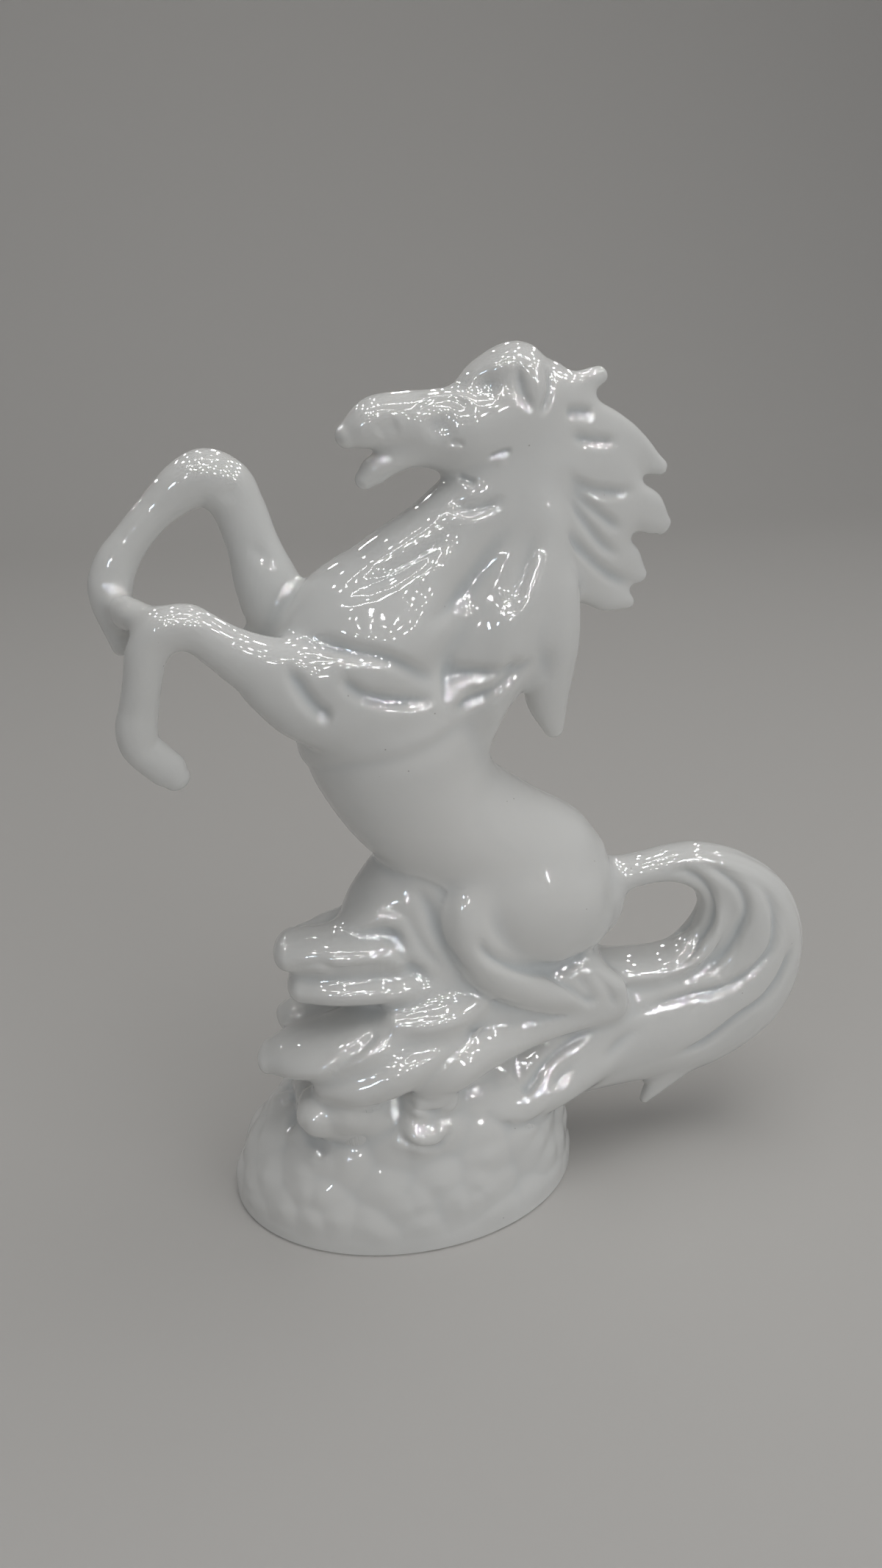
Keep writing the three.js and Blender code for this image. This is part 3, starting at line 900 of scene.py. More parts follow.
@dataclass
class Body:
    """Trunk, neck, chest, shoulders and thighs."""

    chest_sweeps: tuple = (
        ((400, 864), (442, 875), (480, 885), (520, 894), (562, 912), (600, 928)),
        ((462, 910), (474, 932), (495, 947), (534, 954), (572, 953), (603, 948)),
        ((388, 896), (404, 928), (423, 957), (442, 974), (456, 979)),
    )
    neck_valleys: tuple = (
        ((640, 700), (600, 735), (555, 765), (505, 790), (455, 812)),
        ((700, 700), (672, 745), (640, 795), (600, 838), (555, 862)),
        ((738, 700), (722, 755), (702, 805), (680, 850)),
    )
    throat: tuple = ((606, 680), (634, 692), (664, 688), (694, 674))
    side_crease: tuple = ((616, 880), (610, 915), (609, 950), (613, 985))
    cape_edge: tuple = ((364, 1023), (414, 1038), (480, 1036), (560, 1020), (605, 995), (616, 975))
    thigh_crease: tuple = (
        (651, 1262), (660, 1294), (698, 1314), (739, 1320), (767, 1317), (795, 1301), (809, 1282),
    )
    hock_crease: tuple = ((739, 1323), (770, 1339), (795, 1358), (811, 1370))
    hock_ridges: tuple = (
        ((783, 1326), (800, 1346), (815, 1370)),
        ((806, 1320), (826, 1344), (842, 1374)),
    )

    def forms(self) -> list[Loft]:
        """Lofts of the trunk and the neck with their muscles."""
        trunk = Loft(Section.TRUNK, (
            (66, 0, 108, 17, 16), (58, 0, 114, 24, 22), (46, 0, 122.5, 28, 25),
            (30, 0, 134.5, 26.5, 24), (14, 0, 148.5, 25.5, 23.5), (4, 0, 163, 27.5, 24.5),
            (-3, 0, 182, 30.5, 26), (-9, 0, 204, 29, 23),
        ), 5.0)
        thigh = Loft(Section.TRUNK, (
            (64, -11, 105, 15, 9), (53, -14, 112, 21, 13), (41, -15, 119, 21, 13.5),
            (28, -14, 127, 15, 11),
        ), 8.0)
        neck = Loft(Section.NECK, (
            (-12, 0, 186, 22, 22), (-14, 0, 200, 29, 26), (-8, 0, 214, 27.5, 24.5),
            (3, 0, 228, 20.5, 19.5), (17, 0, 242.5, 15.5, 15), (30, 0, 258, 13, 13),
            (38, 0, 271, 12.5, 12),
        ), 8.0)
        nape = Loft(Section.NECK, (
            (34, -3, 264, 10, 9.5), (31, -4, 248, 12, 10), (25, -5, 232, 13, 11),
            (18, -5, 216, 13, 12), (12, -5, 200, 12, 13),
        ), 8.0)
        shoulder = Loft(Section.NECK, (
            (12, -14, 196, 8, 9), (-2, -16, 195, 12, 10), (-18, -15.5, 195, 15, 11),
            (-32, -14.5, 199, 13.5, 11), (-43, -15, 206, 10, 9),
        ), 9.0)
        blade = Loft(Section.NECK, (
            (14, -8, 232, 8, 7), (4, -12.5, 222, 12, 10), (-8, -15, 212, 14.5, 11.5),
            (-22, -15.5, 205, 13.5, 11.5), (-34, -15, 205, 10, 9),
        ), 9.0)
        return [trunk, thigh, thigh.mirrored(), neck, nape] + [
            form for loft in (shoulder, blade) for form in (loft, loft.mirrored())
        ]

    def strokes(self) -> list[Stroke]:
        """Sweeps over chest and neck, throat, cape's edge, and creases of thigh and hock."""
        strokes = [Stroke(marks, 2.3, 2.7, taper=0.3) for marks in self.chest_sweeps]
        strokes += [Stroke(marks, 3.7, 2.4, taper=0.45) for marks in self.neck_valleys]
        strokes.append(Stroke(self.throat, 2.2, 1.8, taper=0.4))
        strokes.append(Stroke(self.side_crease, 2.4, 2.0, taper=0.4))
        strokes.append(Stroke(self.cape_edge, 2.6, 1.7, Tool.STEP))
        strokes.append(Stroke(self.thigh_crease, 2.4, 2.6))
        strokes.append(Stroke(self.hock_crease, 1.8, 1.6))
        strokes += [Stroke(marks, 2.0, 0.9) for marks in self.hock_ridges]
        return strokes


@dataclass
class Face:
    """Head, forelock, cheek lock and lower jaw."""

    eye_slit: tuple = ((664, 624), (674, 619), (686, 615), (697, 613))
    eye_ball: tuple = ((682, 629),)
    front_slit: tuple = ((609, 604), (620, 602), (634, 606))
    nostril: tuple = ((512, 592), (526, 583), (544, 576))
    cheek_hollow: tuple = ((574, 592), (598, 580), (626, 572))
    brow_hollow: tuple = ((640, 518), (662, 524), (684, 536))
    mouth_fold: tuple = ((620, 648), (634, 652), (650, 658))
    crest_ridge: tuple = ((556, 552), (590, 541), (624, 540), (656, 552))
    forelock_creases: tuple = (
        ((708, 490), (706, 510), (711, 532), (720, 550), (731, 563)),
        ((741, 494), (749, 514), (748, 538), (741, 556), (731, 566)),
    )

    def forms(self) -> list[Loft]:
        """Lofts of the head's masses."""
        head = Loft(Section.HEAD, (
            (46, 0, 284, 11, 10), (35, 0, 278.5, 15.5, 12.5), (23, 0, 274.5, 14.5, 12.5),
            (11.5, 0, 275.5, 11.5, 10), (1.5, 0, 277.3, 9, 8), (-6, 0, 277.4, 7.8, 7.5),
            (-11, 0, 275.6, 5.9, 6.3), (-14.2, 0, 274.2, 3.8, 4.5),
        ), 3.0)
        forelock = Loft(Section.HEAD, (
            (44, 0, 286, 7, 9), (37, -1, 291, 8.5, 10), (27, -1, 289, 6.5, 8), (19, -1, 284, 4, 5),
        ), 2.0, Hair(6, 0.5, 0.6, 0.2, 0.8, 0.1))
        cheek_lock = Loft(Section.HEAD, (
            (39, -8, 293, 4, 3.5), (40, -10, 284, 4, 2.8), (37, -11, 274, 2.6, 2),
        ), 3.0)
        jaw = Loft(Section.JAW, (
            (14, 0, 268.5, 5.5, 7.5), (5, 0, 268.6, 4.2, 6.6), (-2.4, 0, 266.4, 4.2, 5.6),
            (-6.6, 0, 263.8, 4.2, 5), (-9.4, 0, 261.4, 3, 4),
        ), 2.0)
        return [head, forelock, cheek_lock, jaw]

    def strokes(self) -> list[Stroke]:
        """Eye, nostril, hollows of cheek and brow, mouth, and creases of the forelock."""
        return [
            Stroke(self.eye_slit, 0.75, 1.3, taper=0.2),
            Stroke(self.eye_ball, 1.6, -0.3),
            Stroke(self.front_slit, 0.8, 0.8),
            Stroke(self.nostril, 2.6, 0.8),
            Stroke(self.cheek_hollow, 4.0, 1.3, taper=0.45),
            Stroke(self.brow_hollow, 3.2, 1.4, taper=0.45),
            Stroke(self.mouth_fold, 1.0, 1.0),
            Stroke(self.crest_ridge, 1.4, -0.8),
        ] + [Stroke(marks, 1.4, 1.3, taper=0.35) for marks in self.forelock_creases]


@dataclass
class Legs:
    """Forelegs lifted in the air and hind legs folded along the rock."""

    forearm_groove: tuple = ((340, 728), (352, 752), (375, 780))
    knee_hollow: tuple = ((302, 660), (314, 672), (326, 684))

    def forms(self) -> list[Loft]:
        """Lofts of the four legs."""
        near_foreleg = Loft(Section.NEAR_FORELEG, (
            (-22, -13, 202, 12, 10.5), (-35, -14.5, 206, 12, 10), (-46, -15.5, 211, 10, 8.6),
            (-55.5, -16.5, 217.8, 7.2, 7), (-61.6, -17, 222.6, 6.6, 6.6),
            (-66.5, -17, 225.3, 7, 6.8), (-72.5, -17, 224.3, 7.2, 6.6), (-77, -16.5, 218.5, 6.4, 6),
            (-79.6, -16, 208.4, 5.6, 5.4), (-81.3, -15, 200.5, 5.8, 5.2),
            (-82.6, -14.5, 194, 6.2, 5.4), (-82, -14, 188.5, 6, 5.2), (-78.5, -14, 184, 6, 4.6),
            (-74.4, -14, 179.6, 5.8, 4.2), (-72.4, -14, 177, 4.4, 3.6),
        ), 4.0)
        far_foreleg = Loft(Section.FAR_FORELEG, (
            (-24, 11, 208, 12, 10), (-33, 12, 216, 12, 9.5), (-39, 12.5, 229, 10.2, 8.4),
            (-43, 13.5, 242.5, 8, 7.4), (-46, 14.5, 252, 8, 7.2), (-49.5, 15, 258.2, 8.8, 7.6),
            (-55, 15, 261.2, 8.8, 7.4), (-61.5, 15, 259.4, 7.6, 6.8),
            (-71.8, 14.8, 251.4, 5.6, 5.6), (-77.5, 14.5, 245.4, 5.5, 5.6),
            (-83.6, 14, 237.5, 6.4, 6), (-86.2, 13, 231, 6.8, 6.2), (-86.2, 11, 225.5, 6.4, 5.8),
            (-85.6, 8, 220.5, 5.2, 5), (-84.4, 5, 214.5, 3.6, 4),
        ), 4.0)
        bridge = Loft(Section.NEAR_FORELEG, (
            (-72, -16, 225, 6.6, 6.2), (-79, -8, 226, 4.8, 5.2), (-83.5, 4, 225, 5.6, 5),
        ), 5.0)
        gaskin = Loft(Section.NEAR_HIND_LEG, (
            (36, -12, 141, 8, 6), (24, -16, 130, 9.5, 8), (18.5, -19, 117, 10, 9.5),
            (26, -21, 100, 9.2, 9), (44, -20, 86, 7.6, 7.5), (62, -17, 77.5, 6.4, 6.2),
            (73, -15, 71, 5.2, 5.4),
        ), 5.0)
        tendon = Loft(Section.NEAR_HIND_LEG, (
            (56, -14, 90, 5, 6), (66, -15, 85, 6, 6.6), (74, -15, 78, 6, 6.2),
            (77, -15, 71.5, 5, 5.6),
        ), 5.0)
        cannon = Loft(Section.NEAR_HIND_LEG, (
            (76, -15, 70, 5.4, 5.8), (58, -18, 70, 5.4, 5.6), (40, -22, 69.5, 5.8, 6),
            (23, -27, 68.5, 7.6, 6.8), (9.5, -31, 65.5, 8.6, 7.4), (3, -30, 62, 7, 7),
        ), 5.0)
        hollow = Loft(Section.NEAR_HIND_LEG, (
            (42, -12, 97, 8, 8), (55, -11.5, 90, 8, 8), (66, -11, 86, 7, 7),
        ), 5.0)
        groin = Loft(Section.TRUNK, (
            (44, 0, 100, 10, 12), (56, 0, 95, 9, 12), (67, 0, 88, 7, 10),
        ), 6.0)
        far = [loft.mirrored(Section.FAR_HIND_LEG) for loft in (gaskin, tendon, hollow, cannon)]
        return [near_foreleg, far_foreleg, bridge, gaskin, tendon, hollow, cannon, groin] + far

    def strokes(self) -> list[Stroke]:
        """Groove along the near forearm, and the hollow under the far knee."""
        return [
            Stroke(self.forearm_groove, 2.6, 0.8, flank=Flank.NEAR, taper=0.5),
            Stroke(self.knee_hollow, 3.0, 0.7, flank=Flank.NEAR, taper=0.5),
        ]


@dataclass
class Mane:
    """Curl behind the neck, the lock that hangs from it and the fan of locks."""

    fan_grooves: tuple = (
        ((765, 563), (790, 560), (812, 563)),
        ((772, 590), (810, 600), (845, 600)),
        ((768, 640), (800, 664), (835, 670), (873, 668)),
        ((770, 650), (798, 684), (830, 710), (852, 724)),
        ((770, 668), (795, 706), (822, 742), (850, 760)),
        ((768, 715), (790, 745), (830, 782), (866, 797)),
    )
    curl_grooves: tuple = (
        ((600, 918), (640, 916), (689, 915), (715, 893)),
        ((613, 975), (640, 955), (677, 938), (708, 916), (728, 890)),
    )
    lock_hollow: tuple = ((736, 872), (744, 905), (748, 945))

    def forms(self) -> list[Loft]:
        """Lofts of the curl, the hanging lock, the fan's locks and their web."""
        curl = Loft(Section.CURL, (
            (40, -4, 260, 11, 9), (42, -6, 243, 12.5, 11), (37, -8, 226, 14.5, 13.5),
            (29, -9, 210, 16.5, 14), (23, -8, 194, 13, 13), (23, -5, 180, 8, 10),
            (26, -2, 169, 3.5, 6),
        ), 4.0, Hair(5, 0.8, 2.2, 0.2, 0.8, 0.1))
        lock = Loft(Section.LOCK, (
            (44, -8, 241, 8.4, 7), (46, -11, 228, 9.4, 8), (46.5, -12, 213, 9.8, 7.8),
            (46.5, -10.5, 200, 9.2, 6.8), (48, -8.5, 189, 7, 5.4), (51, -6.5, 179, 3.6, 3.2),
        ), 3.0, Hair(3, 0.8, 0.5, 0.1, 0.8, 0.1))
        locks = (
            (
                (42, -4, 279, 9, 7.5), (52, -3, 284, 7, 5.4), (58.5, -2, 287.6, 4.4, 4),
                (62.6, -1, 289.2, 3.1, 2.7),
            ),
            (
                (42, -4, 272, 11, 7.5), (56, -3, 275, 10, 6), (69, -2, 270.5, 7.5, 4.8),
                (79, -1, 264, 5.4, 3.4), (84.6, -1, 261.4, 2.9, 2.3),
            ),
            (
                (42, -5, 264, 11, 7.5), (56, -4, 261, 10.5, 6.4), (69, -3, 254, 9, 5.4),
                (80, -2, 248, 7.6, 4.2), (87, -1, 243.4, 3.4, 2.4),
            ),
            (
                (41, -5, 256, 11, 7.5), (53, -4, 249, 10.5, 6.4), (64, -3, 240, 9, 5.4),
                (73, -2, 232.4, 7.6, 4.2), (79.4, -1, 227, 3.9, 2.7),
            ),
            (
                (40, -5, 250, 10, 7.5), (50, -5, 240, 9.5, 6.4), (59, -4, 230, 8.5, 5.2),
                (67, -3, 223.4, 6.8, 4), (76.4, -2, 219.8, 3.1, 2.4),
            ),
        )
        web = Loft(Section.FAN, (
            (54, -3, 281, 8, 4.8), (57, -3, 270, 14, 5.8), (61, -3, 256, 16.5, 6.2),
            (60, -3, 240, 14.5, 6), (57, -3, 225, 10, 5.2),
        ), 3.0)
        combed = Hair(4, 0.5, 0.2, 0.1, 0.8, 0.1)
        return [curl, lock] + [Loft(Section.FAN, rows, 3.0, combed) for rows in locks] + [web]

    def strokes(self) -> list[Stroke]:
        """Grooves along the fan's locks and round the curl, and the hollow of the hanging lock."""
        fan = [Stroke(marks, 1.8, 1.8, taper=0.35) for marks in self.fan_grooves]
        curl = [Stroke(marks, 2.4, 2.5, flank=Flank.NEAR) for marks in self.curl_grooves]
        return fan + curl + [Stroke(self.lock_hollow, 3.0, 0.9, flank=Flank.NEAR, taper=0.5)]


@dataclass
class Tail:
    """Tail lifted at the dock, swept round in a loop and spread over the mound."""

    tail_grooves: tuple = (
        (
            (905, 1190), (932, 1186), (957, 1203), (967, 1226), (964, 1254), (949, 1276),
            (932, 1305), (886, 1326),
        ),
        (
            (940, 1176), (970, 1182), (991, 1194), (1009, 1213), (1015, 1239), (1005, 1267),
            (987, 1295), (960, 1317), (925, 1332),
        ),
        (
            (1020, 1190), (1042, 1215), (1055, 1245), (1056, 1270), (1050, 1293), (1034, 1313),
            (1010, 1332), (979, 1347), (945, 1354), (911, 1362), (876, 1375), (848, 1391),
        ),
        ((1082, 1270), (1070, 1314), (1042, 1358), (1004, 1386), (957, 1420), (910, 1439)),
        ((820, 1395), (776, 1420), (745, 1445), (723, 1476), (704, 1495)),
    )
    tail_dips: tuple = (
        ((882, 1395), (854, 1411), (832, 1432), (817, 1454)),
        ((789, 1439), (761, 1470), (757, 1489)),
    )
    hair_end: tuple = ((656, 1500), (682, 1520), (712, 1526), (738, 1512), (752, 1494))

    def forms(self) -> list[Loft]:
        """Lofts of the tail and its spur."""
        tail = Loft(Section.TAIL, (
            (72, 0, 117, 7, 8), (86.5, 0, 117.5, 6.5, 7.2), (100.5, 0, 119, 6.8, 7.8),
            (112, 0, 117, 8.2, 9), (125, 0, 109.6, 11, 10.5), (135.6, 0, 95.2, 16.6, 12),
            (137.8, 0, 77, 22, 13), (131, 0, 61.5, 26.6, 14), (112, 0, 52.2, 28.2, 15),
            (89, -1, 51, 25.6, 17), (63, -3, 50.5, 23, 20), (42, -4, 47, 17, 23),
        ), 3.0, Hair(9, 0.6, 0.9, 0.22, 0.8, 0.15))
        inner_roll = Loft(Section.TAIL, (
            (74, 0, 115, 5.5, 8), (88, 0, 117.6, 5.6, 8), (100, 0, 117.4, 5.4, 8),
            (110.5, 0, 113.2, 5.2, 8.5), (117.2, 0, 106, 5, 9), (119.6, 0, 97, 5, 9.5),
            (117, 0, 87.5, 5, 10), (110.5, 0, 80.6, 5, 10.5), (100, 0, 76.8, 5, 11),
            (88, 0, 76.4, 5.2, 11.5), (77, 0, 78.4, 5.4, 11), (68, 0, 82, 5.4, 10),
        ), 3.0)
        fluke = Loft(Section.TAIL, (
            (98, -8, 56, 9, 8), (80, -12, 51, 9.6, 8), (64, -17, 47, 9.4, 8),
            (50, -22, 43.5, 8.6, 7.4), (37, -26, 42, 7.6, 6.6), (26, -28.5, 45, 6, 5),
        ), 6.0)
        spur = Loft(Section.TAIL, (
            (113, -5, 42.4, 10, 5.5), (109, -6, 34, 9, 5), (102, -6, 26.4, 6.4, 4.2),
            (97.4, -6, 19.6, 3.2, 2.8), (95.8, -6, 16.8, 2, 1.8),
        ), 3.0)
        return [tail, inner_roll, fluke, fluke.mirrored(), spur]

    def strokes(self) -> list[Stroke]:
        """Broad grooves that sweep round with the tail, its dips and the edge where it ends."""
        grooves = [Stroke(marks, 2.2, 2.3) for marks in self.tail_grooves]
        dips = [Stroke(marks, 3.0, 1.3, taper=0.5) for marks in self.tail_dips]
        return grooves + dips + [Stroke(self.hair_end, 1.8, 1.6, Tool.STEP, Flank.NEAR, 0.4)]


@dataclass(frozen=True)
class Piece:
    """A finished section as a closed mesh.

    Attributes:
        section: Which section it is.
        points: Vertex places in millimetres from the foot's centre.
        quads: Faces with four corners, the skin's first.
        triangles: Faces with three corners.
        skin: How many of the quads are skin.
        normals: One normal for each corner of the skin's quads.
        recess: How deep each vertex lies in a hollow, from 0 to 1.
        bare: One where the clay is left unglazed; there its colour is a dark painted contact shade.
    """

    section: Section
    points: Array
    quads: Array
    triangles: Array
    skin: int
    normals: Array
    recess: Array
    bare: Array


def islands(pairs: Array, count: int) -> Array:
    """Which things hang together.

    Every thing takes the lowest number among its neighbours', over and over.

    Args:
        pairs: Two rows with the numbers of things that touch.
        count: How many things there are.

    Returns:
        For each thing, the lowest number in its island.
    """
    root = np.arange(count)
    while True:
        low = np.minimum(root[pairs[0]], root[pairs[1]])
        new = root.copy()
        np.minimum.at(new, root[pairs[0]], low)
        np.minimum.at(new, root[pairs[1]], low)
        while not np.array_equal(new, new[new]):
            new = new[new]
        if np.array_equal(new, root):
            return root
        root = new


def shared_edges(quads: Array, count: int) -> tuple[Array, Array]:
    """Edges that two quads share.

    Args:
        quads: Four vertex indices a face.
        count: How many vertices there are.

    Returns:
        The two faces and the two vertices of each such edge, in rows.
    """
    ends = np.sort(quad_ends(quads), axis=1)
    key = ends[:, 0] * count + ends[:, 1]
    order = np.argsort(key, kind="stable")
    twin = np.nonzero(key[order][1:] == key[order][:-1])[0]
    faces = np.stack([order[twin] // 4, order[twin + 1] // 4])
    return faces, ends[order[twin]].T


def open_edges(quads: Array, count: int) -> Array:
    """Edges that only one quad has, from start to end as that quad runs.

    Args:
        quads: Four vertex indices a face.
        count: How many vertices there are.

    Returns:
        Start and end vertex of each edge, in rows.
    """
    start, end = quad_ends(quads).T
    alone = ~np.isin(start * count + end, end * count + start)
    return np.stack([start[alone], end[alone]])


def settle(quads: Array, label: Array, count: int) -> Array:
    """Straightens the seams between sections.

    Every face takes the label that most faces round it have, small islands go to their
    neighbours, and no section touches itself at a single vertex.

    Args:
        quads: Four vertex indices a face.
        label: The section of each face.
        count: How many vertices there are.

    Returns:
        The settled labels.
    """
    kinds = len(SECTIONS)
    rows = np.arange(len(quads))
    faces, ends = shared_edges(quads, count)

    def votes(label: Array) -> Array:
        """How many faces of each label every vertex has."""
        key = quads.ravel() * kinds + np.repeat(label, 4)
        return np.bincount(key, minlength=count * kinds).reshape(count, kinds).astype(np.float32)

    for _ in range(BALLOTS):
        ballot = votes(label)
        tally = sum(ballot[quads[:, k]] for k in range(4))
        tally[rows, label] += 0.5
        label = tally.argmax(axis=1)
    for _ in range(SETTLINGS):
        same = label[faces[0]] == label[faces[1]]
        root = islands(faces[:, same], len(quads))
        small = np.bincount(root, minlength=len(quads))[root] < LEAST_ISLAND
        label = np.where(small, -1, label)
        while (label < 0).any():
            for a, b in (faces, faces[::-1]):
                take = (label[a] < 0) & (label[b] >= 0)
                label[a[take]] = label[b[take]]
        seam = label[faces[0]] != label[faces[1]]
        corner = (ends[:, None, seam] * kinds + label[faces[None, :, seam]]).ravel()
        pinched = np.unique(np.nonzero(np.bincount(corner) > 2)[0] // kinds)
        if not len(pinched) and not small.any():
            break
        bad = np.zeros(count, bool)
        bad[pinched] = True
        winner = votes(label).argmax(axis=1)
        for k in range(4):
            touch = bad[quads[:, k]]
            label[touch] = winner[quads[touch, k]]
    return label


def strip(edges: Array, low: int, high: int) -> Array:
    """Quads between two copies of a ring, which close the open edges of a skin inwards.

    Args:
        edges: Start and end place of each open edge within the ring.
        low: Index of the outer copy's first vertex.
        high: Index of the inner copy's first vertex.

    Returns:
        Four indices a quad.
    """
    start, end = edges
    return np.stack([end + low, start + low, start + high, end + high], axis=1)


@dataclass
class Casting:
    """Presses the lofts into one skin, tools it and cuts it into the frame's sections.

    Attributes:
        forms: The lofts of all sub-assemblies.
        strokes: The strokes of all sub-assemblies.
        rockwork: The rockwork, whose mound is hollow.
        rubs: Passes that blend the lofts where they meet.
        facet_rubs: Passes that soften the beaten facets.
        rock_share: How strongly crest and ledges are beaten, against the mound.
        facet_fade: Heights between which the beating of the mound sets in.
        sag: Passes over which the skin is averaged to find its hollows.
        full_hollow: Depth at which a hollow counts in full.
        inset: How far inside the skin a section is closed.
        lid_depth: How much deeper the middle of such a closing lies, at the most.
        seam_normal: Direction square to the seam between the barrel and the chest.
        seam_point: A point near that seam.
        seam_drop: How far the seam lies below the point.
        undercut: The share by which the foot's edge is drawn in where it meets the table.
        undercut_height: How high that undercut reaches.
        foot_line: How high the unglazed edge of the foot reaches, which is painted dark as contact
            shade.
        wall_rings: How many rings lead up the wall of the hollow.
        dome_inset: How far under the mound's skin its loops are closed.
        dome_reach: How near to the dome a rim counts as lying on the mound.
        dome_share: The share of a loop that has to lie so for the loop to follow the dome.
        dome_steps: First and last share of the way to such a loop's middle, and their count.
    """

    forms: list
    strokes: list
    rockwork: Rockwork
    rubs: int = 150
    facet_rubs: int = 12
    rock_share: float = 0.3
    facet_fade: tuple = (2.0, 14.0)
    sag: int = 50
    full_hollow: float = 1.0
    inset: float = 1.1
    lid_depth: float = 4.0
    seam_normal: tuple = (-0.12, 0.0, 0.99)
    seam_point: tuple = (-12.0, 0.0, 186.0)
    seam_drop: float = 2.0
    undercut: float = 0.018
    foot_line: float = 0.8
    undercut_height: float = 1.5
    wall_rings: int = 11
    dome_inset: float = 1.5
    dome_reach: float = 5.0
    dome_share: float = 0.6
    dome_steps: tuple = (0.06, 0.9, 9)

    def press(self) -> Clay:
        """Joins all lofts into one skin of quads and drops any pocket shut up inside it.

        Returns:
            The raw clay.
        """
        points, quads, triangles, start = [], [], [], 0
        for form in self.forms:
            skin, four, three = form.skin()
            points.append(skin)
            quads.append(four + start)
            triangles.append(three + start)
            start += len(skin)
        mesh = mesh_from("lofts", np.vstack(points), [np.vstack(quads), np.vstack(triangles)])
        lofts = bpy.data.objects.new("lofts", mesh)
        bpy.context.collection.objects.link(lofts)
        remesh = lofts.modifiers.new("press", "REMESH")
        remesh.mode = "VOXEL"
        remesh.voxel_size = CLAY_GRAIN
        remesh.adaptivity = 0.0
        whole = lofts.evaluated_get(bpy.context.evaluated_depsgraph_get()).to_mesh()
        co = np.empty(len(whole.vertices) * 3, np.float32)
        whole.vertices.foreach_get("co", co)
        corner = np.empty(len(whole.loops), np.int32)
        whole.loops.foreach_get("vertex_index", corner)
        bpy.data.objects.remove(lofts)
        bpy.data.meshes.remove(mesh)
        points, quads = co.reshape(-1, 3).astype(float), corner.reshape(-1, 4).astype(np.int64)
        root = islands(quad_ends(quads).T, len(points))
        keep = root == np.bincount(root).argmax()
        number = np.cumsum(keep) - 1
        return Clay(points[keep], number[quads[keep[quads[:, 0]]]])

    def territory(self, points: Array) -> tuple[Array, Array]:
        """Which section each place belongs to, and how strongly the clay is rubbed there.

        Args:
            points: Places on the skin.

        Returns:
            Index into SECTIONS, and the share of rubbing, which is high where two lofts meet.
        """
        gaps = np.stack([form.distance(points) for form in self.forms], axis=1)
        owner = gaps.argmin(axis=1)
        rows = np.arange(len(points))
        first = gaps[rows, owner]
        blends = np.array([form.blend for form in self.forms])
        gaps[rows, owner] = OUT_OF_REACH
        radius = np.minimum(blends[None, :], blends[owner][:, None])
        share = np.exp(-((np.maximum(gaps - first[:, None], 0) / radius) ** 2)).max(axis=1)
        label = np.array([SECTIONS.index(form.section) for form in self.forms])[owner]
        trunk, neck = SECTIONS.index(Section.TRUNK), SECTIONS.index(Section.NECK)
        above = (points - self.seam_point) @ unit(np.array(self.seam_normal)) + self.seam_drop
        label = np.where((label == trunk) & (above > 0), neck, label)
        label = np.where((label == neck) & (above < 0), trunk, label)
        return label, share

    def work(self, clay: Clay) -> None:
        """Rubs the raw skin down, beats the rock and tools all strokes into it.

        Args:
            clay: The raw clay, which is changed.
        """
        label, share = self.territory(clay.points)
        clay.polish(2)
        clay.rub(self.rubs, share)
        mound = label == SECTIONS.index(Section.PEDESTAL)
        ledges = (Section.CREST, Section.UPPER_LEDGE, Section.LOWER_LEDGE)
        rock = np.isin(label, [SECTIONS.index(section) for section in ledges])
        where = mound * smoothstep(*self.facet_fade, clay.points[:, 2]) + self.rock_share * rock
        where = clay.mean_of(clay.mean_of(where))
        facets = self.rockwork.facets(clay.points[mound])
        clay.hammer(where, facets, self.rockwork.facet_spacing, self.rockwork.facet_height)
        clay.rub(self.facet_rubs, where)
        clay.tool(self.strokes, Sight())
        clay.polish(1)
        clay.rub(1, 0.6)

    def hollows(self, clay: Clay) -> Array:
        """How deep each vertex lies in a hollow.

        The skin is averaged over a few millimetres, and the depth is how far the average
        lies outside the skin, along its normal.

        Args:
            clay: The worked clay.

        Returns:
            A share from 0 on ridges and flats to 1 in deep creases.
        """
        mean = clay.points
        for _ in range(self.sag):
            mean = clay.mean_of(mean)
        depth = ((mean - clay.points) * clay.normals()).sum(axis=1)
        # This depth drives the painted shade that darkens the glaze in the hollows.
        return clay.mean_of(np.clip(depth / self.full_hollow, 0, 1))

    def cut(self, clay: Clay) -> list[Piece]:
        """Cuts the skin into sections and closes each of them.

        Args:
            clay: The worked clay.

        Returns:
            One piece for each section.
        """
        count = len(clay.points)
        normal = clay.normals()
        recess = self.hollows(clay)
        middle = clay.points[clay.quads].mean(axis=1)
        above = middle[:, 2] > 0
        quads, middle = clay.quads[above], middle[above]
        points = clay.points.copy()
        points[open_edges(quads, count).ravel(), 2] = 0.0
        low = np.clip(1 - points[:, 2] / self.undercut_height, 0, 1) ** 2
        points[:, :2] *= 1 - self.undercut * low[:, None]
        label = settle(quads, self.territory(middle)[0], count)
        return [
            self.closed(section, points, normal, recess, quads[label == k])
            for k, section in enumerate(SECTIONS)
        ]

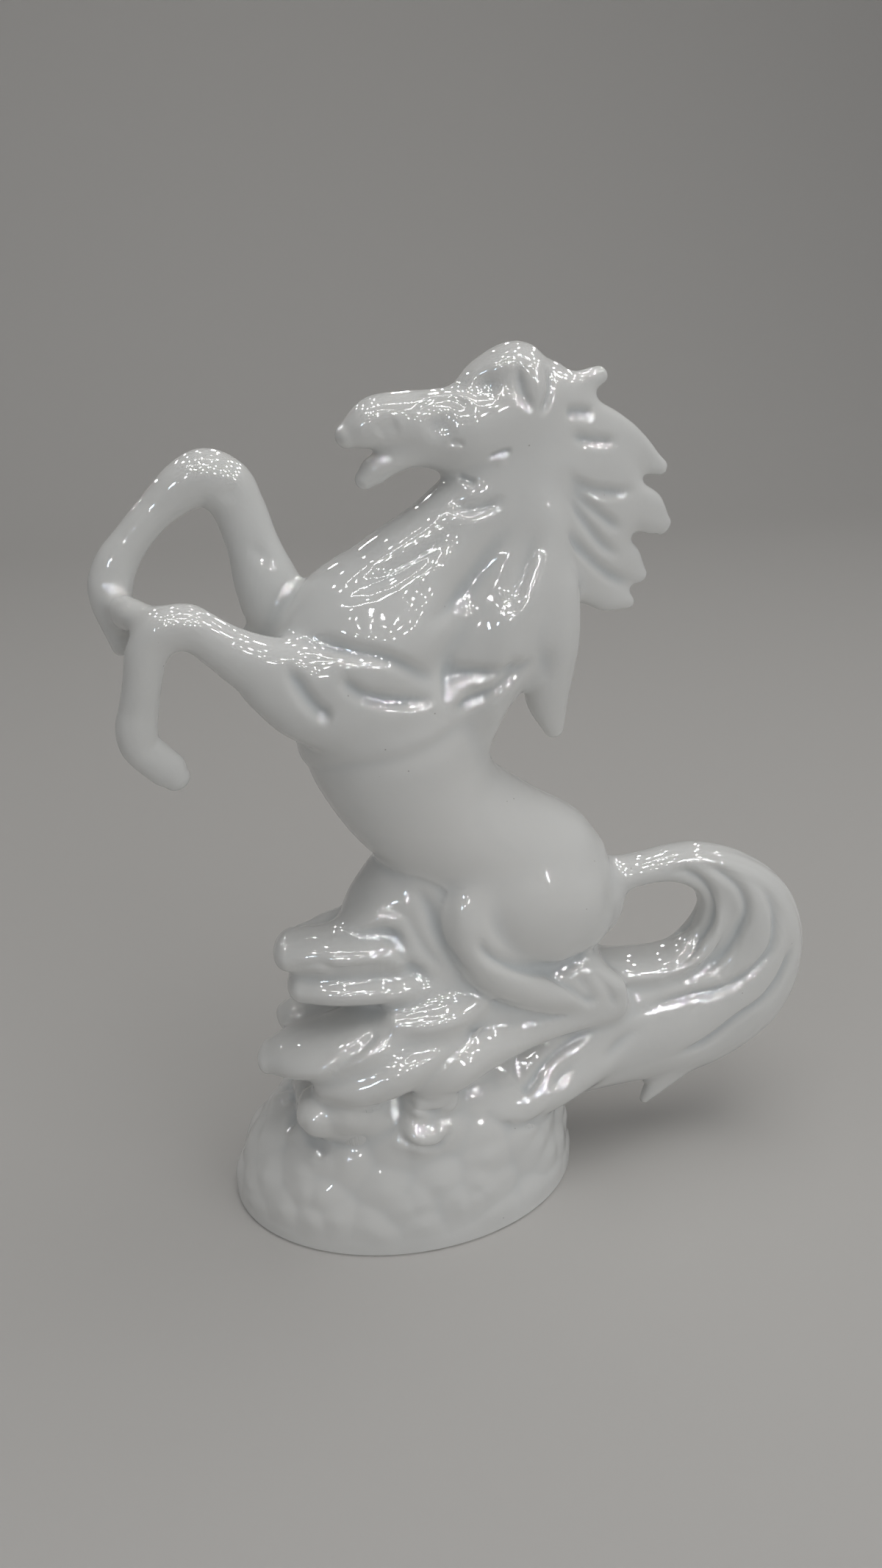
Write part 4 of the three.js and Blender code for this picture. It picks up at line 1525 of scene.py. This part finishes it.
    def closed(
        self, section: Section, points: Array, normal: Array, recess: Array, quads: Array
    ) -> Piece:
        """Closes one section's skin inwards.

        Its open edges are drawn in under the skin by a strip, and each loop is closed by a
        fan to its middle, which lies deeper. A loop that lies on the mound is led along the
        mound's dome instead, so that nothing hangs down into the hollow.

        Args:
            section: Which section it is.
            points: All the vertices.
            normal: Their normals.
            recess: How deep they lie in hollows.
            quads: The section's faces.

        Returns:
            The closed piece.
        """
        count = len(points)
        edges = open_edges(quads, count)
        used, inverse = np.unique(quads, return_inverse=True)
        skin = inverse.reshape(-1, 4)
        rim, place = np.unique(edges, return_inverse=True)
        place = place.reshape(2, -1)
        root = islands(place, len(rim))
        foot = points[rim, 2] < 1e-6
        near_dome = np.abs(points[rim, 2] - self.rockwork.dome(points[rim], 0.0)) < self.dome_reach
        total = np.maximum(np.bincount(root, minlength=len(rim)), 1)
        held = np.bincount(root, weights=near_dome, minlength=len(rim)) / total
        on_mound = (held[root] > self.dome_share) | (section is Section.PEDESTAL)
        kind = np.where(foot, AT_FOOT, np.where(on_mound, ON_MOUND, ON_BODY))
        shell = [points[used]]
        # The unglazed edge of the foot, which is coloured dark as painted contact shade.
        bare = [(points[used, 2] < self.foot_line).astype(float)]
        four, three = [skin], []
        size = len(used)
        at_rim = np.searchsorted(used, rim)
        for which in (ON_BODY, ON_MOUND, AT_FOOT):
            mine = kind == which
            if not mine.any():
                continue
            number = np.cumsum(mine) - 1
            first = place[:, mine[place[0]]]
            chosen = number[first]
            local = rim[mine]
            loops, group = np.unique(islands(chosen, len(local)), return_inverse=True)
            if which == ON_BODY:
                rings = [points[local] - normal[local] * self.inset]
            elif which == ON_MOUND:
                rings = self.dome_rings(points[local], group)
            else:
                rings = self.foot_rings(points[local])
            start, end = at_rim[first]
            four.append(np.stack([end, start, chosen[0] + size, chosen[1] + size], axis=1))
            for k, ring in enumerate(rings[1:]):
                four.append(strip(chosen, size + k * len(ring), size + (k + 1) * len(ring)))
            centre = sums(group, rings[-1])
            if which == ON_BODY:
                centre -= sums(group, normal[local]) * self.lid_depth
            shell += rings + [centre / np.bincount(group)[:, None]]
            added = len(rings) * len(local) + len(loops)
            bare.append(np.full(added, float(which == AT_FOOT)))
            last = size + (len(rings) - 1) * len(local)
            middle = size + len(rings) * len(local) + group[chosen[0]]
            three.append(np.stack([chosen[1] + last, chosen[0] + last, middle], axis=1))
            size += added
        return Piece(
            section,
            np.vstack(shell),
            np.vstack(four),
            np.vstack(three),
            len(skin),
            normal[quads].reshape(-1, 3),
            np.concatenate([recess[used], np.zeros(size - len(used))]),
            np.concatenate(bare),
        )

    def dome_rings(self, rim: Array, group: Array) -> list[Array]:
        """Rings that lead the loops on the mound to their middles, just under its dome.

        Args:
            rim: The loops' points.
            group: The loop of each point.

        Returns:
            Rings of points, from the rim inwards.
        """
        centre = (sums(group, rim) / np.bincount(group)[:, None])[group]
        rings = []
        for share in np.linspace(*self.dome_steps):
            ring = rim + share * (centre - rim)
            ring[:, 2] = self.rockwork.dome(ring, self.dome_inset)
            rings.append(ring)
        return rings

    def foot_rings(self, rim: Array) -> list[Array]:
        """Rings across the bare foot and up the wall of the hollow.

        Ring k is the oval of the hollow at its height, at the same angles as the rim.

        Args:
            rim: Points of the foot's outer edge.

        Returns:
            Rings of points, from the foot's inner edge to the top of the hollow.
        """
        rock = self.rockwork
        angle = np.arctan2(rim[:, 1] / rock.foot_half_width, rim[:, 0] / rock.foot_half_length)
        ovals = rock.ovals_up(rock.wall, self.wall_rings, np.linspace(0, math.pi / 2, 7)[1:-1])
        return [
            np.column_stack([x + a * np.cos(angle), b * np.sin(angle), np.full(len(rim), z)])
            for x, z, a, b in ovals.T
        ]


@dataclass(frozen=True)
class Glaze:
    """White porcelain body under a clear glossy glaze.

    Attributes:
        body: Colour of the glazed body.
        pooled_glaze_and_shade: Colour in the hollows, partly where the glaze stands thicker, partly
            painted shade.
        bare_foot_and_contact_shade: Colour of the bare foot, dark as painted contact shade where it
            meets the table.
        speck: Colour of the few dark specks in the glaze.
        gloss: Roughness of the glaze.
        bare_rough: Roughness of the bare foot.
        depth: How far light goes into the body, in metres.
        drift_waves: Waves a metre of the slow drift in colour.
        speck_waves: Cells a metre, each of which holds one speck.
        ripple_waves: Waves a metre of the ripples in the surface.
        ripple_height: Height of those ripples, in metres.
    """

    body: tuple = (0.71, 0.71, 0.695, 1.0)
    pooled_glaze_and_shade: tuple = (0.53, 0.56, 0.575, 1.0)
    bare_foot_and_contact_shade: tuple = (0.36, 0.34, 0.31, 1.0)
    speck: tuple = (0.12, 0.10, 0.08, 1.0)
    gloss: float = 0.03
    bare_rough: float = 0.75
    depth: float = 0.0015
    drift_waves: float = 9.0
    speck_waves: float = 95.0
    ripple_waves: float = 120.0
    ripple_height: float = 0.001

    def material(self) -> bpy.types.Material:
        """The glaze as a material.

        The colour goes from the body's to the darker pooled_glaze_and_shade one with the recess
        attribute, which paints shade into the hollows beyond the glaze's own tint, drifts slowly
        with noise, and carries a few dark specks. Ripples of about a centimetre bend the
        reflections.

        Returns:
            The material.
        """
        material = bpy.data.materials.new("porcelain_glaze")
        material.use_nodes = True
        nodes, links = material.node_tree.nodes, material.node_tree.links
        shader = nodes["Principled BSDF"]
        shader.inputs["IOR"].default_value = 1.5
        shader.inputs["Subsurface Weight"].default_value = 0.06
        shader.inputs["Subsurface Radius"].default_value = (1.0, 0.9, 0.8)
        shader.inputs["Subsurface Scale"].default_value = self.depth
        place = nodes.new("ShaderNodeTexCoord").outputs["Object"]

        def noise(scale: float, detail: float) -> bpy.types.NodeSocket:
            """Noise of so many waves a metre."""
            node = nodes.new("ShaderNodeTexNoise")
            node.inputs["Scale"].default_value = scale
            node.inputs["Detail"].default_value = detail
            links.new(place, node.inputs["Vector"])
            return node.outputs["Fac"]

        def ramp(source: bpy.types.NodeSocket, *values: float) -> bpy.types.NodeSocket:
            """Maps the first two values to the last two, clamped."""
            node = nodes.new("ShaderNodeMapRange")
            for name, value in zip(("From Min", "From Max", "To Min", "To Max"), values):
                node.inputs[name].default_value = value
            links.new(source, node.inputs["Value"])
            return node.outputs["Result"]

        def mix(share: bpy.types.NodeSocket, under: object, over: tuple) -> bpy.types.NodeSocket:
            """Lays one colour over another by a share."""
            node = nodes.new("ShaderNodeMix")
            node.data_type = "RGBA"
            links.new(share, node.inputs["Factor"])
            if isinstance(under, tuple):
                node.inputs[MIX_A].default_value = under
            else:
                links.new(under, node.inputs[MIX_A])
            node.inputs[MIX_B].default_value = over
            return node.outputs[MIX_RESULT]

        def carried(name: str) -> bpy.types.NodeSocket:
            """A number that the piece carries at its vertices."""
            node = nodes.new("ShaderNodeAttribute")
            node.attribute_name = name
            return node.outputs["Fac"]

        drift = ramp(noise(self.drift_waves, 2.0), 0.35, 0.75, 0.0, 0.25)
        colour = mix(drift, self.body, self.pooled_glaze_and_shade)
        # Painted shade: the recess attribute darkens the hollows towards the pooled colour, more
        # than a glaze tint would.
        colour = mix(ramp(carried("recess"), 0.0, 1.0, 0.0, 0.8), colour, self.pooled_glaze_and_shade)
        specks = nodes.new("ShaderNodeTexVoronoi")
        specks.inputs["Scale"].default_value = self.speck_waves
        links.new(place, specks.inputs["Vector"])
        colour = mix(ramp(specks.outputs["Distance"], 0.03, 0.015, 0.0, 0.5), colour, self.speck)
        bare = carried("bare")
        # Painted contact shade: the bare foot where it meets the table is coloured dark.
        links.new(mix(bare, colour, self.bare_foot_and_contact_shade), shader.inputs["Base Color"])
        links.new(ramp(bare, 0.0, 1.0, self.gloss, self.bare_rough), shader.inputs["Roughness"])
        bump = nodes.new("ShaderNodeBump")
        bump.inputs["Strength"].default_value = 0.25
        bump.inputs["Distance"].default_value = self.ripple_height
        links.new(noise(self.ripple_waves, 1.0), bump.inputs["Height"])
        links.new(bump.outputs["Normal"], shader.inputs["Normal"])
        return material


@dataclass
class Kiln:
    """Turns the closed pieces into glazed objects that stand for the frame's nodes."""

    glaze: Glaze = field(default_factory=Glaze)

    def fire(self, pieces: Iterable[Piece]) -> None:
        """Makes and glazes every piece, hangs it on the root body and hides the frame node it
        stands for.

        Args:
            pieces: The closed pieces.
        """
        material = self.glaze.material()
        centre = foot_centre()
        for piece in pieces:
            node = piece.section.value
            name = node + "_glazed"
            mesh = mesh_from(name, (piece.points + centre) * MM, [piece.quads, piece.triangles])
            # recess carries the painted shade of the hollows; bare marks the unglazed foot,
            # coloured dark as painted contact shade.
            for title, values in (("recess", piece.recess), ("bare", piece.bare)):
                carried = mesh.attributes.new(title, "FLOAT", "POINT")
                carried.data.foreach_set("value", values.astype(np.float32))
            flat = np.empty(len(mesh.polygons) * 3, np.float32)
            mesh.polygons.foreach_get("normal", flat)
            total = np.empty(len(mesh.polygons), np.int32)
            mesh.polygons.foreach_get("loop_total", total)
            normals = np.repeat(flat.reshape(-1, 3), total, axis=0)
            normals[: len(piece.normals)] = piece.normals
            mesh.normals_split_custom_set(normals.tolist())
            mesh.materials.append(material)
            skin = bpy.data.objects.new(name, mesh)
            bpy.context.collection.objects.link(skin)
            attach(skin, "root")
            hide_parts(node)
            LOG.info("%s: %d quads, %d triangles", node, len(piece.quads), len(piece.triangles))


@dataclass(frozen=True)
class Lamp:
    """One area lamp that shines at the figure.

    Attributes:
        place: Where it hangs, in metres.
        size: Its sides in metres.
        power: Its power in watts.
        glint: Whether it is only mirrored in the glaze, or else only lights the figure.
        tint: Its colour.
    """

    place: tuple
    size: tuple
    power: float
    glint: bool = True
    tint: tuple = (1.0, 1.0, 1.0)

    def hang(self, name: str) -> None:
        """Hangs the lamp under a name."""
        light = bpy.data.lights.new(name, "AREA")
        light.shape = "RECTANGLE"
        light.size, light.size_y = self.size
        light.energy = self.power
        light.color = self.tint
        lamp = bpy.data.objects.new(name, light)
        lamp.location = self.place
        aim = Vector(AIM) - Vector(self.place)
        lamp.rotation_euler = aim.to_track_quat("-Z", "Y").to_euler()
        lamp.visible_glossy = self.glint
        lamp.visible_diffuse = not self.glint
        lamp.visible_camera = False
        bpy.context.collection.objects.link(lamp)


@dataclass(frozen=True)
class Spots:
    """Rows of small lamps, whose images are the glints in the glaze.

    Attributes:
        rows: How many rows there are.
        places: How many lamps hang in a row.
        corner: Where the first lamp hangs.
        step: How far apart they hang in a row.
        row_step: How far each row is moved from the one before it.
        stagger: How much further every other row is moved along itself.
    """

    rows: int
    places: int
    corner: tuple
    step: float
    row_step: tuple
    stagger: float = 0.0

    def lamps(self) -> list[Lamp]:
        """The lamps, row by row."""
        (x, y, z), (dx, dy, dz) = self.corner, self.row_step
        return [
            Lamp(
                (
                    x + self.step * place + dx * row + self.stagger * (row % 2),
                    y + dy * row,
                    z + dz * row,
                ),
                (SPOT_SIZE, SPOT_SIZE),
                SPOT_POWER,
            )
            for row in range(self.rows)
            for place in range(self.places)
        ]


@dataclass
class Studio:
    """Pale floor with its wall, soft lamps, small bright ones for the glints, and the camera.

    Attributes:
        floor_half_width: Half of the floor's width, in metres as all sizes here.
        floor_front: Where the floor starts, in front of the figure.
        floor_back: Where it begins to sweep up.
        sweep_radius: Radius of that sweep.
        wall_height: Height of the wall above it.
        floor_colour: Colour of floor and wall.
        floor_rough: Their roughness.
        ceiling: Soft light from above.
        window: Faint cool light from the left.
        room: Faint light from the right.
        spots: Small lamps above.
        far_spots: Small lamps in front and high up.
        back_spots: Small lamps behind.
        tubes: Two long narrow lamps.
        pane: Small bluish lamp on the left.
        world: Colour of the surroundings.
        world_strength: Their strength.
        sensor: The camera's sensor in millimetres.
    """

    floor_half_width: float = 4.0
    floor_front: float = -3.0
    floor_back: float = 1.1
    sweep_radius: float = 0.9
    wall_height: float = 3.2
    floor_colour: tuple = (0.53, 0.52, 0.505, 1.0)
    floor_rough: float = 0.55
    ceiling: Lamp = Lamp((0.15, -0.1, 1.9), (1.8, 1.4), 14.5, False, (1.0, 0.985, 0.96))
    window: Lamp = Lamp((-1.5, -0.9, 1.1), (0.9, 1.1), 0.9, False, (0.93, 0.97, 1.0))
    room: Lamp = Lamp((0.6, -1.0, 0.4), (0.9, 0.5), 3.0, False)
    spots: Spots = Spots(6, 5, (-1.05, -1.75, 1.75), 0.68, (0.0, 0.5, 0.0), 0.22)
    far_spots: Spots = Spots(3, 8, (-1.6, -2.7, 1.3), 0.5, (0.2, -0.1, 0.62))
    back_spots: Spots = Spots(2, 4, (-1.5, 1.6, 1.2), 0.9, (0.3, -0.2, 0.5))
    tubes: tuple = tuple(
        Lamp((x, y, 1.6), (1.1, 0.02), 4.5) for x, y in ((-0.4, -1.0), (-0.05, -0.35))
    )
    pane: Lamp = Lamp((-1.0, -1.3, 0.75), (0.07, 0.14), 3.5, True, (0.60, 0.80, 1.0))
    world: tuple = (0.98, 0.985, 1.0, 1.0)
    world_strength: float = 0.26
    sensor: float = 36.0

    def floor(self) -> None:
        """Lays a pale plain floor that sweeps up into a wall behind the figure."""
        turn = np.linspace(0, math.pi / 2, 25)
        sweep = self.floor_back + self.sweep_radius * np.sin(turn)
        along = np.concatenate([[self.floor_front], sweep, sweep[-1:]])
        rise = np.concatenate([[0.0], self.sweep_radius * (1 - np.cos(turn)), [self.wall_height]])
        sides = [
            np.column_stack([np.full(len(rise), hand * self.floor_half_width), along, rise])
            for hand in (-1, 1)
        ]
        k = np.arange(len(rise) - 1)
        quads = np.stack([k, k + len(rise), k + len(rise) + 1, k + 1], axis=1)
        mesh = mesh_from("floor", np.vstack(sides), [quads])
        material = bpy.data.materials.new("pale_floor")
        material.use_nodes = True
        shader = material.node_tree.nodes["Principled BSDF"]
        shader.inputs["Base Color"].default_value = self.floor_colour
        shader.inputs["Roughness"].default_value = self.floor_rough
        shader.inputs["Specular IOR Level"].default_value = 0.0
        mesh.materials.append(material)
        floor = bpy.data.objects.new("floor", mesh)
        bpy.context.collection.objects.link(floor)

    def light(self) -> None:
        """Hangs the lamps and sets the world."""
        self.ceiling.hang("ceiling")
        self.window.hang("window")
        self.room.hang("room")
        for name, lamps in (
            ("spot", self.spots.lamps()),
            ("far_spot", self.far_spots.lamps()),
            ("back_spot", self.back_spots.lamps()),
            ("tube", self.tubes),
        ):
            for k, lamp in enumerate(lamps):
                lamp.hang(f"{name}_{k}")
        self.pane.hang("pane")
        world = bpy.data.worlds.new("room")
        bpy.context.scene.world = world
        world.use_nodes = True
        air = world.node_tree.nodes["Background"]
        air.inputs["Color"].default_value = self.world
        air.inputs["Strength"].default_value = self.world_strength

    def camera(self, sight: Sight) -> None:
        """Puts the camera where the photograph was taken from.

        Args:
            sight: The solved camera.
        """
        data = bpy.data.cameras.new("camera")
        data.sensor_width = self.sensor
        data.lens = sight.focal / PHOTO_HEIGHT * self.sensor
        data.clip_start = 0.01
        camera = bpy.data.objects.new("camera", data)
        camera.location = (np.array(sight.eye) + foot_centre()) * MM
        camera.rotation_euler = (math.radians(90 - sight.pitch), 0.0, math.radians(-sight.yaw))
        bpy.context.collection.objects.link(camera)
        bpy.context.scene.camera = camera
        bpy.context.scene.view_settings.view_transform = "Standard"


def main() -> None:
    """Builds the figure, dresses the frame with it and lights it."""
    logging.basicConfig(level=logging.INFO, format="%(name)s: %(message)s")
    rockwork = Rockwork()
    assemblies = (rockwork, Body(), Face(), Legs(), Mane(), Tail())
    forms = [form for assembly in assemblies for form in assembly.forms()]
    strokes = [stroke for assembly in assemblies for stroke in assembly.strokes()]
    casting = Casting(forms, strokes, rockwork)
    clay = casting.press()
    LOG.info("skin of %d quads from %d lofts", len(clay.quads), len(forms))
    casting.work(clay)
    LOG.info("%d strokes tooled", len(strokes))
    Kiln().fire(casting.cut(clay))
    studio = Studio()
    studio.floor()
    studio.light()
    studio.camera(Sight())
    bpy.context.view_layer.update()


def corners(bounds: tuple) -> list:
    """The two corners of a box as plain lists of numbers."""
    return [[float(value) for value in corner] for corner in bounds]


if __name__ == "__main__":
    main()
